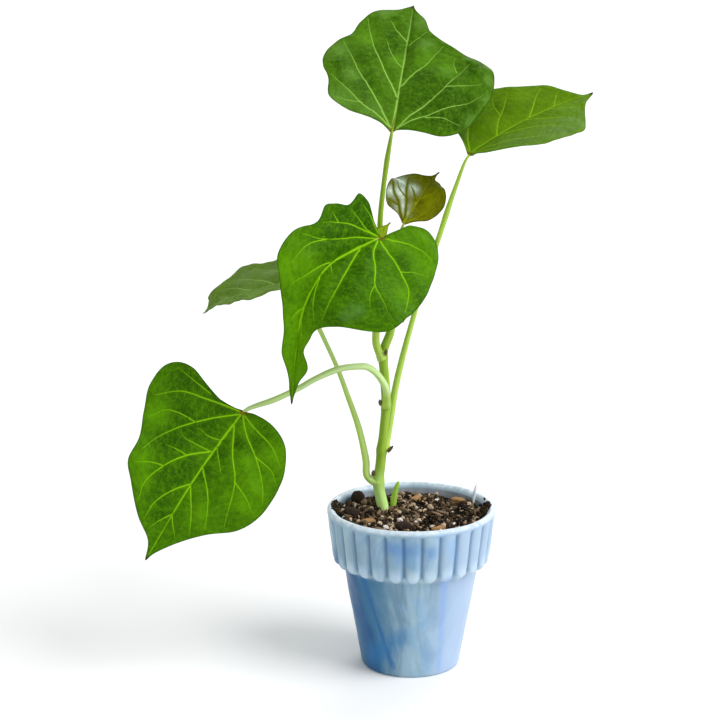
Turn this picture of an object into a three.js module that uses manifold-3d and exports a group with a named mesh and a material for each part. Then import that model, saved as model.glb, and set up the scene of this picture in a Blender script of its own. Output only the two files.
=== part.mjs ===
// A young sweet potato plant growing in a small ribbed glass pot.
//
// Millimetres, +Z up. The origin is the centre of the pot's flat underside, -Y is the plant's
// front. Every leaf is a blade on a petiole, and every petiole grows from the one main stem.
// All pieces keep a small gap to their neighbours, so each one is a closed solid of its own.

import * as THREE from 'three';
import { mergeVertices } from 'three/addons/utils/BufferGeometryUtils.js';
import Module from 'manifold-3d';

const wasm = await Module();
wasm.setup();

// ---------------------------------------------------------------- driving dimensions

const GAP = 0.3; // clearance between neighbouring pieces
const BLADE_THICKNESS = 0.6;

const POT_FLOOR = 4;

const POT = {
  ribs: 28,
  stepsPerRib: 4,
  ribDepth: 1.3,
  // radius, height, share of the rib depth
  outside: [
    [0, 0, 0],
    [16.4, 0, 0],
    [17.2, 0.8, 0],
    [23.4, 36.2, 0],
    [25.6, 37.4, 0.5],
    [27.2, 39.5, 1],
    [28.9, 53.6, 1],
    [29.25, 55.4, 0.2],
    [28.7, 57, 0],
  ],
  inside: [
    [26.9, 57, 0],
    [26.3, 56.2, 0],
    [21.6, 37.5, 0],
    [15.2, POT_FLOOR, 0],
    [0, POT_FLOOR, 0],
  ],
};

const SOIL = {
  top: 52.2,
  waist: 37.5, // height where the pot's wall turns outwards
  chamfer: 0.4,
  bump: 0.2,
  sides: 28,
  rings: 6,
};

// Stem and petiole routes: points from the root end to the tip, radii spread along them.
const STEM = {
  points: [
    [-5.5, 7.2, 36], [-7.2, 7, 45], [-9.3, 6.8, 52.5], [-11.3, 6.5, 63.4], [-10.6, 6.3, 71.2],
    [-9.5, 5.9, 83], [-8.8, 5.6, 91.7], [-9.3, 5.5, 102], [-9.7, 5.5, 110.6], [-7.3, 6.2, 118],
    [-7.1, 7, 128.6], [-8, 6.6, 139.2], [-9, 6.2, 147.4],
  ],
  radii: [1.7, 2.0, 1.95, 1.7, 1.6, 1.6, 1.6, 1.55, 1.4, 1.2, 1.0],
  sides: 10,
  steps: 22,
};

const ROOTS = {
  crown: [-5.3, 7.2, 35.3],
  // end point and sideways bow of each root
  ends: [
    [[-12, 2, 14], [-4, -2, 0]],
    [[1, -6, 11], [3, -2, 0]],
    [[6, 9, 16], [2, 4, 0]],
    [[-7, 13, 19], [-3, 2, 0]],
    [[-2, 3, 8], [1, 1, 0]],
  ],
  radii: [1.5, 1.05, 0.45],
  bowPlace: 0.45, // share of the length where the bow is widest
};

// Each leaf's flat outline is given in its own plane: distance along the midrib from the joint
// and half width, once for the left and once for the right half as seen from above with the
// tip ahead. The midrib is a curve in space. `side` is the direction of the right half at the
// joint and at the tip. `fold` is the rise of each half at the midrib in degrees, at the joint
// and at the tip, and `curl` is how many degrees a millimetre the rise changes outwards.
const LEAVES = {
  leaf_top: {
    petiole: [[-7.4, 7.4, 128.2], [-9.2, 10.2, 134], [-10.2, 9.6, 143], [-11, 8.6, 153.3],
      [-10, 7.4, 166.5], [-8.4, 6.4, 178.6], [-7.2, 5.4, 185.8]],
    radii: [1.25, 1.1, 1.0, 0.9, 0.85],
    midrib: [[-7.1, 6, 186.5], [-4.6, 18, 198.5], [-2.2, 34, 209.3], [0, 46, 219.5], [1, 52, 224.7]],
    side: [[1, 0, 0], [1, 0, 0]],
    fold: { left: [14, 14], right: [14, 14] },
    curl: { left: -0.6, right: -0.6 },
    left: [[2.6, 4], [4, 9], [5, 16], [9.4, 22.9], [18, 24.5], [24, 27], [30.7, 27.5], [37, 24],
      [41, 20], [48.5, 17], [54.3, 12], [57.4, 4.5]],
    right: [[1.2, 3.3], [0, 9], [-1.8, 16.8], [0.3, 22.7], [8.6, 28], [17.4, 31.7], [27, 31.2],
      [32.5, 26.3], [37, 20.3], [41.7, 13.8], [47.6, 7.7], [53.5, 5], [58, 1.2]],
  },
  leaf_right: {
    petiole: [[-9.1, 6.4, 75.5], [-7.5, 8, 84], [-5.2, 9, 98.4], [0.9, 9, 123.2], [9.1, 8.5, 150.2],
      [14.8, 8, 168.2], [18.5, 7.8, 177.7]],
    radii: [1.3, 1.15, 1.0, 0.9, 0.9],
    midrib: [[18.8, 8, 178.4], [28.3, 14, 183.7], [41.2, 21, 189.8], [52.8, 27, 193.9], [62.7, 31, 196.6]],
    side: [[0, -0.9, -0.45], [0, -0.9, -0.35]],
    fold: { left: [16, 16], right: [26, -4] },
    curl: { left: -0.4, right: -0.3 },
    left: [[2.5, 5.4], [4, 9], [6, 15], [10, 21], [17, 23], [23, 21.5], [29, 17.8], [35, 13.9],
      [41, 10.3], [45, 5], [49, 0.9]],
    right: [[1, 4], [1.5, 10], [4.8, 16], [8.5, 22], [15.5, 25], [22.6, 24.7], [29, 23], [34.2, 21.6],
      [39, 16.5], [43, 11.2], [48, 4.4]],
  },
  leaf_front: {
    petiole: [[-10.2, 4.8, 108.5], [-12.2, 2.6, 114], [-12.3, 1.4, 119.3], [-11.9, 0, 130.1],
      [-11.2, -1.6, 143.6], [-10.9, -3, 151.4]],
    radii: [1.35, 1.25, 1.1, 0.95],
    midrib: [[-10.8, -4, 152.6], [-21.2, -14, 149.3], [-27, -20, 146.9], [-31.1, -24, 143],
      [-36.3, -27, 132.6], [-38.8, -27, 118.2], [-40.4, -25, 100.4]],
    side: [[-0.65, 0.2, 0.7], [-0.95, 0.29, 0.1]],
    fold: { left: [12, 12], right: [40, 40] },
    curl: { left: -0.4, right: -0.8 },
    left: [[-5, 1], [-12.8, 1.2], [-17.5, 5], [-16.5, 12], [-8.5, 20], [4.9, 27.5], [17, 30.6],
      [29, 31.8], [38, 28.5], [41.5, 23], [44.3, 13], [47.6, 6.3], [52.2, 4.1], [56, 3], [61, 5.2],
      [67.3, 2.1]],
    right: [[1.8, 7.4], [1.8, 13], [4.7, 17], [9.8, 14.8], [14, 17], [18, 17.8], [22, 14.4],
      [27.5, 17.2], [32, 16.8], [37, 12], [43.5, 7.2], [50, 5.3], [57, 4.9], [64.6, 2.1]],
  },
  leaf_low_left: {
    petiole: [[-8.9, 4.6, 91.5], [-9, 1, 99], [-12.4, -2, 105.2], [-15.4, -3.6, 107.6], [-19.2, -5.3, 108.2],
      [-25.2, -7.8, 107.9], [-33.3, -10.6, 105], [-38, -12, 102.6], [-46.4, -13.2, 98.8], [-56, -13.2, 95.2]],
    radii: [1.3, 1.2, 1.15, 1.1, 1.0, 0.95],
    midrib: [[-56.9, -14, 94.9], [-64.2, -18, 86], [-74.2, -24, 72.5], [-86, -28, 53.4], [-89.6, -29, 47.4]],
    side: [[-1, 0, 0], [-1, 0, 0]],
    fold: { left: [12, 12], right: [12, 12] },
    curl: { left: -0.5, right: -0.5 },
    left: [[-1.2, 3.2], [-1.8, 11], [1.2, 18.7], [7.7, 23.6], [14, 25.5], [20.5, 26.2], [27, 25.5],
      [35, 21.6], [42, 13.2], [50, 5.9], [57, 1.2]],
    right: [[0.9, 3.4], [1.6, 12], [-1.3, 22], [0, 27.5], [4, 30.6], [11, 30.6], [19, 27], [27, 23],
      [34, 22.2], [39, 18], [48, 9.8], [54, 2.5]],
  },
  leaf_back: {
    petiole: [[-11, 6, 63.8], [-13.4, 6.3, 64], [-15.4, 6.8, 66], [-15.7, 7.5, 71], [-18.1, 9, 82.1],
      [-22.1, 10.5, 93.9], [-25.8, 12, 103.7], [-31.8, 14, 116.6], [-36.3, 15.5, 126.4], [-38.6, 16, 132.8]],
    radii: [1.3, 1.15, 0.95, 0.85, 0.8],
    steps: 26,
    midrib: [[-39.2, 16, 133.7], [-45.9, 18, 132], [-58, 22, 127.8], [-69.1, 25, 122.9], [-73, 26, 119.5]],
    side: [[0, 0.95, 0.3], [0, 0.95, 0.3]],
    fold: { left: [22, 22], right: [6, 6] },
    curl: { left: -0.4, right: -0.3 },
    left: [[-1, 4], [0, 9], [4, 13.5], [9.4, 15.5], [14, 15.8], [20, 13.2], [26, 11], [31, 7.5], [35.5, 2.8]],
    right: [[-1, 4], [-1, 9], [2, 13], [6, 14.8], [10.8, 15.2], [18.3, 16.4], [25.3, 18], [29, 12.8],
      [33.6, 9.5], [36, 8.2], [35.6, 5.5], [36.4, 2.5]],
  },
  leaf_young: {
    petiole: [[-8, 7.5, 137], [-7, 9.6, 142], [-4.6, 10.8, 149.6], [-3.1, 10.9, 153.7]],
    radii: [0.8, 0.65, 0.6],
    midrib: [[-2.9, 11, 154.3], [3.5, 17, 163.4], [5.7, 21, 166.7], [9.6, 25, 169.9]],
    side: [[1, 0, 0], [1, 0, 0]],
    fold: { left: [14, 14], right: [14, 14] },
    curl: { left: -0.5, right: -0.5 },
    left: [[0.8, 1.7], [2.2, 4.6], [2.5, 8], [5.4, 10.6], [10, 12], [15, 10.8], [18.5, 6], [19.9, 2.8],
      [22, 0.8]],
    right: [[1.2, 1.7], [3, 4], [5, 7.2], [8.5, 8.9], [12, 9.3], [15.7, 7.2], [19.5, 4.2], [20.7, 1.4],
      [23, 0.5]],
  },
};

const BUD_LEAF = {
  midrib: [[-11, 5.4, 151], [-9.6, 4.2, 153.6], [-7.5, 3.4, 156.2]],
  side: [[0.8, -0.3, -0.5], [0.8, -0.3, -0.5]],
  fold: { left: [30, 30], right: [30, 30] },
  curl: { left: 0, right: 0 },
  left: [[0.4, 1.4], [1.6, 2.4], [3.4, 1.8], [5, 0.6]],
  right: [[0.4, 1.4], [1.6, 2.4], [3.4, 1.8], [5, 0.6]],
};

// Buds and stipules in the leaf axils: base point, tip point, radius at the base.
const BUD_TIP_SHARE = 0.3; // radius at a bud's tip over that at its base
const AXIL_BUDS = {
  axil_bud_lowest: [[-13.3, 5.6, 66.2], [-13.1, 5.2, 68.2], 0.55],
  axil_bud_low: [[-8, 5.2, 75], [-6.3, 4.4, 77.2], 0.6],
  axil_bud_middle: [[-10.7, 3.9, 92.2], [-11, 3.2, 94.2], 0.5],
  axil_bud_upper: [[-8.9, 3.4, 110.2], [-8.8, 2.6, 112.2], 0.5],
};

const SPROUT = {
  points: [[-6.4, 9.1, 51.4], [-5.8, 9, 56.2], [-5.2, 8.9, 59.7], [-4.2, 8.7, 63]],
  radii: [0.9, 1.25, 1.15, 0.4],
};

const SHOOT_TIP = {
  points: [[-9.05, 6.15, 147.8], [-9.3, 6.1, 149.4], [-9.6, 6.3, 151.2]],
  radii: [0.9, 0.8, 0.3],
  steps: 4,
};

// Loose lumps on the soil: centre (height above the soil), half lengths, turn in degrees.
const LUMP_ROUGHNESS = 0.12; // share of the size that the corners are pushed in or out
const LUMPS = {
  clod_back_left: [[-18.6, 13, 3.9], [2.8, 2.4, 3.0], 20],
  clod_left: [[-20.5, -1, 2.4], [3.2, 2.2, 1.9], -30],
  clod_front: [[-3, -14.5, 2.2], [2.8, 2.4, 1.7], 10],
  bark_chip_left: [[-15, -8.5, 1.8], [3.2, 1.6, 1.2], 15],
  bark_chip_front: [[9, -16, 1.7], [3, 1.2, 1.1], 25],
  bark_chip_right: [[17, 14.5, 1.9], [3.4, 1.5, 1.3], -35],
  bark_chip_back: [[2, 17, 1.8], [2.6, 1.6, 1.2], 60],
  perlite_front: [[-9, -14, 1.5], [1.4, 1.2, 1.0], 0],
  perlite_middle: [[-4, -6, 1.5], [1.3, 1.1, 1.0], 40],
  perlite_back: [[9.5, 15.5, 1.5], [1.4, 1.1, 1.0], 70],
};

// ---------------------------------------------------------------- materials

const COLOURS = {
  glass: [0xb9cbe2, 0.18],
  soil: [0x35261b, 0.95],
  stem: [0x86b53c, 0.45],
  petiole: [0x93c04a, 0.45],
  blade: [0x3c8417, 0.4],
  youngBlade: [0x75801f, 0.35],
  bud: [0x7a8a2c, 0.5],
  root: [0xd8c9a4, 0.8],
  bark: [0xa9713f, 0.85],
  perlite: [0xd9d2c6, 0.9],
};

function material(name) {
  const [color, roughness] = COLOURS[name];
  return new THREE.MeshStandardMaterial({ color, roughness, metalness: 0 });
}

// ---------------------------------------------------------------- geometry helpers

const radians = THREE.MathUtils.degToRad;
const lerp = THREE.MathUtils.lerp;
const vector = (point) => new THREE.Vector3(...point);

// Joins shared corners and drops the empty triangles that this leaves.
function weld(geometry) {
  geometry.deleteAttribute('normal');
  geometry.deleteAttribute('uv');
  const welded = mergeVertices(geometry);
  const old = welded.index.array;
  const kept = [];
  for (let i = 0; i < old.length; i += 3) {
    const [a, b, c] = [old[i], old[i + 1], old[i + 2]];
    if (a !== b && b !== c && c !== a) kept.push(a, b, c);
  }
  welded.setIndex(kept);
  return welded;
}

function toSolid(geometry) {
  return new wasm.Manifold(new wasm.Mesh({
    numProp: 3,
    vertProperties: new Float32Array(geometry.attributes.position.array),
    triVerts: new Uint32Array(geometry.index.array),
  }));
}

function toGeometry(solid) {
  const mesh = solid.getMesh();
  const geometry = new THREE.BufferGeometry();
  geometry.setAttribute('position', new THREE.Float32BufferAttribute(mesh.vertProperties, 3));
  geometry.setIndex(new THREE.Uint32BufferAttribute(mesh.triVerts, 1));
  return geometry;
}

function largestBody(solid) {
  const bodies = solid.decompose();
  return bodies.reduce((best, body) => (body.volume() > best.volume() ? body : best));
}

// Cuts the neighbours' grown shapes away from a piece.
function clearOf(geometry, ...neighbours) {
  const cut = neighbours.reduce((solid, other) => solid.subtract(toSolid(other)), toSolid(geometry));
  return toGeometry(largestBody(cut));
}

function spread(values, t) {
  const place = t * (values.length - 1);
  const index = Math.min(Math.floor(place), values.length - 2);
  return lerp(values[index], values[index + 1], place - index);
}

// A round shoot along a smooth curve: a cylinder bent along it, with a changing radius.
function shoot({ points, radii, sides = 8, steps = 14 }, grow = 0) {
  const curve = new THREE.CatmullRomCurve3(points.map(vector));
  const frames = curve.computeFrenetFrames(steps, false);
  const geometry = new THREE.CylinderGeometry(1, 1, 1, sides, steps);
  const position = geometry.attributes.position;
  for (let i = 0; i < position.count; i += 1) {
    const t = position.getY(i) + 0.5;
    const radius = spread(radii, t) + grow;
    const step = Math.round(t * steps);
    const point = curve.getPointAt(t)
      .addScaledVector(frames.normals[step], position.getX(i) * radius)
      .addScaledVector(frames.binormals[step], -position.getZ(i) * radius);
    position.setXYZ(i, point.x, point.y, point.z);
  }
  return weld(geometry);
}

// The leaf's curved surface: a point from its flat place (along, across) and its lift.
function leafSurface(leaf) {
  const curve = new THREE.CatmullRomCurve3(leaf.midrib.map(vector));
  const length = curve.getLength();
  const [baseSide, tipSide] = leaf.side.map(vector);
  return {
    length,
    at(along, across, lift) {
      const onMidrib = THREE.MathUtils.clamp(along, 0, length);
      const share = onMidrib / length;
      const tangent = curve.getTangentAt(share);
      const side = baseSide.clone().lerp(tipSide, share);
      side.addScaledVector(tangent, -side.dot(tangent)).normalize();
      const up = side.clone().cross(tangent);
      const half = across < 0 ? 'left' : 'right';
      const width = Math.abs(across);
      const fold = radians(lerp(...leaf.fold[half], share));
      const curl = radians(leaf.curl[half]);
      const rise = fold + (curl * width) / 2;
      const slope = fold + curl * width;
      const out = side.clone().multiplyScalar(Math.sign(across));
      return curve.getPointAt(share)
        .addScaledVector(tangent, along - onMidrib)
        .addScaledVector(out, width * Math.cos(rise) - lift * Math.sin(slope))
        .addScaledVector(up, width * Math.sin(rise) + lift * Math.cos(slope));
    },
  };
}

// A blade: a flat box bent onto the leaf's surface, its sides run along the outline.
const BLADE_GRID = { along: 15, across: 6, midribPower: 1.6, jointWidth: 0.7, tipWidth: 0.2 };
const BUD_GRID = { ...BLADE_GRID, along: 6, across: 4, jointWidth: 0.5 };

function blade(leaf, grid = BLADE_GRID) {
  const surface = leafSurface(leaf);
  const flat = ([along, width]) => new THREE.Vector3(along, width, 0);
  const outline = (half) => new THREE.CatmullRomCurve3([
    flat([0, grid.jointWidth]),
    ...leaf[half].map(flat),
    flat([surface.length, grid.tipWidth]),
  ]);
  const edges = { left: outline('left'), right: outline('right') };
  const geometry = new THREE.BoxGeometry(1, 1, 1, grid.along, grid.across, 1);
  const position = geometry.attributes.position;
  for (let i = 0; i < position.count; i += 1) {
    const t = position.getX(i) + 0.5;
    const across = position.getY(i) * 2;
    const edge = edges[across < 0 ? 'left' : 'right'].getPointAt(t);
    const midrib = surface.length * t ** grid.midribPower;
    const along = lerp(midrib, edge.x, Math.abs(across));
    const point = surface.at(along, across * edge.y, -position.getZ(i) * BLADE_THICKNESS);
    position.setXYZ(i, point.x, point.y, point.z);
  }
  return weld(geometry);
}

// ---------------------------------------------------------------- pieces

const plant = new THREE.Group();

function add(name, geometry, colour) {
  const mesh = new THREE.Mesh(geometry, material(colour));
  mesh.name = name;
  plant.add(mesh);
  return mesh;
}

// The pot is turned from its profile, and the ribs are pressed into the top band.
function pot() {
  const profile = [...POT.outside, ...POT.inside];
  const segments = POT.ribs * POT.stepsPerRib;
  const geometry = new THREE.LatheGeometry(profile.map(([r, z]) => new THREE.Vector2(r, z)), segments);
  const position = geometry.attributes.position;
  for (let i = 0; i < position.count; i += 1) {
    const share = profile[i % profile.length][2];
    const angle = (Math.floor(i / profile.length) / segments) * Math.PI * 2;
    const groove = 1 - Math.abs(Math.cos((POT.ribs * angle) / 2));
    const radius = Math.hypot(position.getX(i), position.getZ(i));
    const scale = radius > 0 ? 1 - (share * POT.ribDepth * groove) / radius : 1;
    position.setX(i, position.getX(i) * scale);
    position.setZ(i, position.getZ(i) * scale);
  }
  return weld(geometry.rotateX(Math.PI / 2));
}

function insideRadius(z) {
  const wall = [...POT.inside].reverse();
  const upper = wall.findIndex(([, height]) => height > z);
  const [r0, z0] = wall[upper - 1];
  const [r1, z1] = wall[upper];
  return lerp(r0, r1, (z - z0) / (z1 - z0));
}

// The soil fills the pot, with a shallow uneven top.
function soil() {
  const heights = [POT_FLOOR + GAP, SOIL.waist, SOIL.top - SOIL.chamfer];
  const wall = heights.map((z) => [insideRadius(z) - GAP, z]);
  const topRadius = insideRadius(SOIL.top) - GAP - SOIL.chamfer;
  const surface = [];
  for (let ring = 0; ring < SOIL.rings; ring += 1) {
    surface.push([topRadius * (1 - ring / SOIL.rings), SOIL.top]);
  }
  const profile = [[0, POT_FLOOR + GAP], ...wall, ...surface, [0, SOIL.top]];
  const geometry = new THREE.LatheGeometry(profile.map(([r, z]) => new THREE.Vector2(r, z)), SOIL.sides);
  const position = geometry.attributes.position;
  for (let i = 0; i < position.count; i += 1) {
    const [x, z] = [position.getX(i), position.getZ(i)];
    const radius = Math.hypot(x, z);
    if (position.getY(i) < SOIL.top || radius > topRadius - 1) continue;
    const bump = Math.sin(x * 0.9 + 1) * Math.cos(z * 0.8) + 0.5 * Math.sin(x * 0.5 - z * 0.7);
    position.setY(i, SOIL.top + SOIL.bump * bump);
  }
  return weld(geometry.rotateX(Math.PI / 2));
}

// Tapered roots that fan out from the crown, joined into one solid.
function roots(grow = 0) {
  const crown = vector(ROOTS.crown);
  const solids = ROOTS.ends.map(([end, bow]) => {
    const tip = vector(end);
    const middle = crown.clone().lerp(tip, ROOTS.bowPlace).add(vector(bow));
    return toSolid(shoot({
      points: [crown, middle, tip].map((point) => point.toArray()),
      radii: ROOTS.radii,
      sides: 6,
      steps: 7,
    }, grow));
  });
  return toGeometry(solids.reduce((all, root) => all.add(root)));
}

// An uneven lump: a ball stretched to its size, with a few facets pushed in or out.
function lump([[x, y, height], size, turn], seed) {
  const geometry = weld(new THREE.IcosahedronGeometry(1, 1));
  const position = geometry.attributes.position;
  for (let i = 0; i < position.count; i += 1) {
    const push = 1 + LUMP_ROUGHNESS * Math.sin(i * 2.3 + seed * 1.7);
    position.setXYZ(i, position.getX(i) * push, position.getY(i) * push, position.getZ(i) * push);
  }
  geometry.scale(...size).rotateZ(radians(turn));
  return geometry.translate(x, y, SOIL.top + height);
}

function lumpColour(name) {
  if (name.startsWith('bark')) return 'bark';
  return name.startsWith('perlite') ? 'perlite' : 'soil';
}

const stem = shoot(STEM);
const stemRoom = shoot(STEM, GAP);
const sproutRoom = shoot(SPROUT, GAP);

add('pot', pot(), 'glass');
add('soil', clearOf(soil(), stemRoom, sproutRoom, roots(GAP)), 'soil');
add('roots', clearOf(roots(), stemRoom), 'root');
add('main_stem', stem, 'stem');
add('ground_sprout', shoot(SPROUT), 'stem');

const petioleRooms = [];
for (const [name, leaf] of Object.entries(LEAVES)) {
  const route = { points: leaf.petiole, radii: leaf.radii, steps: leaf.steps ?? 15 };
  const petioleRoom = shoot(route, GAP);
  petioleRooms.push(petioleRoom);
  add(`${name}_petiole`, clearOf(shoot(route), stemRoom), 'petiole');
  const colour = name === 'leaf_young' ? 'youngBlade' : 'blade';
  add(`${name}_blade`, clearOf(blade(leaf), petioleRoom), colour);
}

add('bud_leaf', clearOf(blade(BUD_LEAF, BUD_GRID), stemRoom), 'youngBlade');
add('shoot_tip', shoot(SHOOT_TIP), 'bud');

for (const [name, [base, tip, radius]] of Object.entries(AXIL_BUDS)) {
  const middle = vector(base).lerp(vector(tip), 0.5).toArray();
  const radii = [radius, radius, radius * BUD_TIP_SHARE];
  const bud = shoot({ points: [base, middle, tip], radii, sides: 6, steps: 3 });
  add(name, clearOf(bud, stemRoom, ...petioleRooms), 'bud');
}

Object.entries(LUMPS).forEach(([name, values], index) => {
  add(name, lump(values, index), lumpColour(name));
});

export default plant;
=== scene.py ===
# A young sweet potato plant in a small ribbed glass pot: the finish of every surface.
#
# Lengths are millimetres in the plant's own frame, with the origin under the middle of the pot
# and -Y to the front. make_piece() turns them into metres.

import math

import bmesh
import bpy
import numpy as np
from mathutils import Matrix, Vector


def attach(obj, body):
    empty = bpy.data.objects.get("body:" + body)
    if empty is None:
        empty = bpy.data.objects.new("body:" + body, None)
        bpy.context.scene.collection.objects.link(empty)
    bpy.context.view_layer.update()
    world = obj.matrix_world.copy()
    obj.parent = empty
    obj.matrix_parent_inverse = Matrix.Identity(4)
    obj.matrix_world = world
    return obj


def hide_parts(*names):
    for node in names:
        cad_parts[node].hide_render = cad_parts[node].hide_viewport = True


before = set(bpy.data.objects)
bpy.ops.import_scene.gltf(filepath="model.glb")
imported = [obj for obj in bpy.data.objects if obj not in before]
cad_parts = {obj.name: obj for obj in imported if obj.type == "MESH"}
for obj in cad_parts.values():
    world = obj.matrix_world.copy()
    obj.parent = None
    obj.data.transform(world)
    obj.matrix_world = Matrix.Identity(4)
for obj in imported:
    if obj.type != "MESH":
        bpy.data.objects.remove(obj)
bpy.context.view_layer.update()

MM = 0.001
TURN = 2 * math.pi

# ---------------------------------------------------------------- the plant's measures

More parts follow.
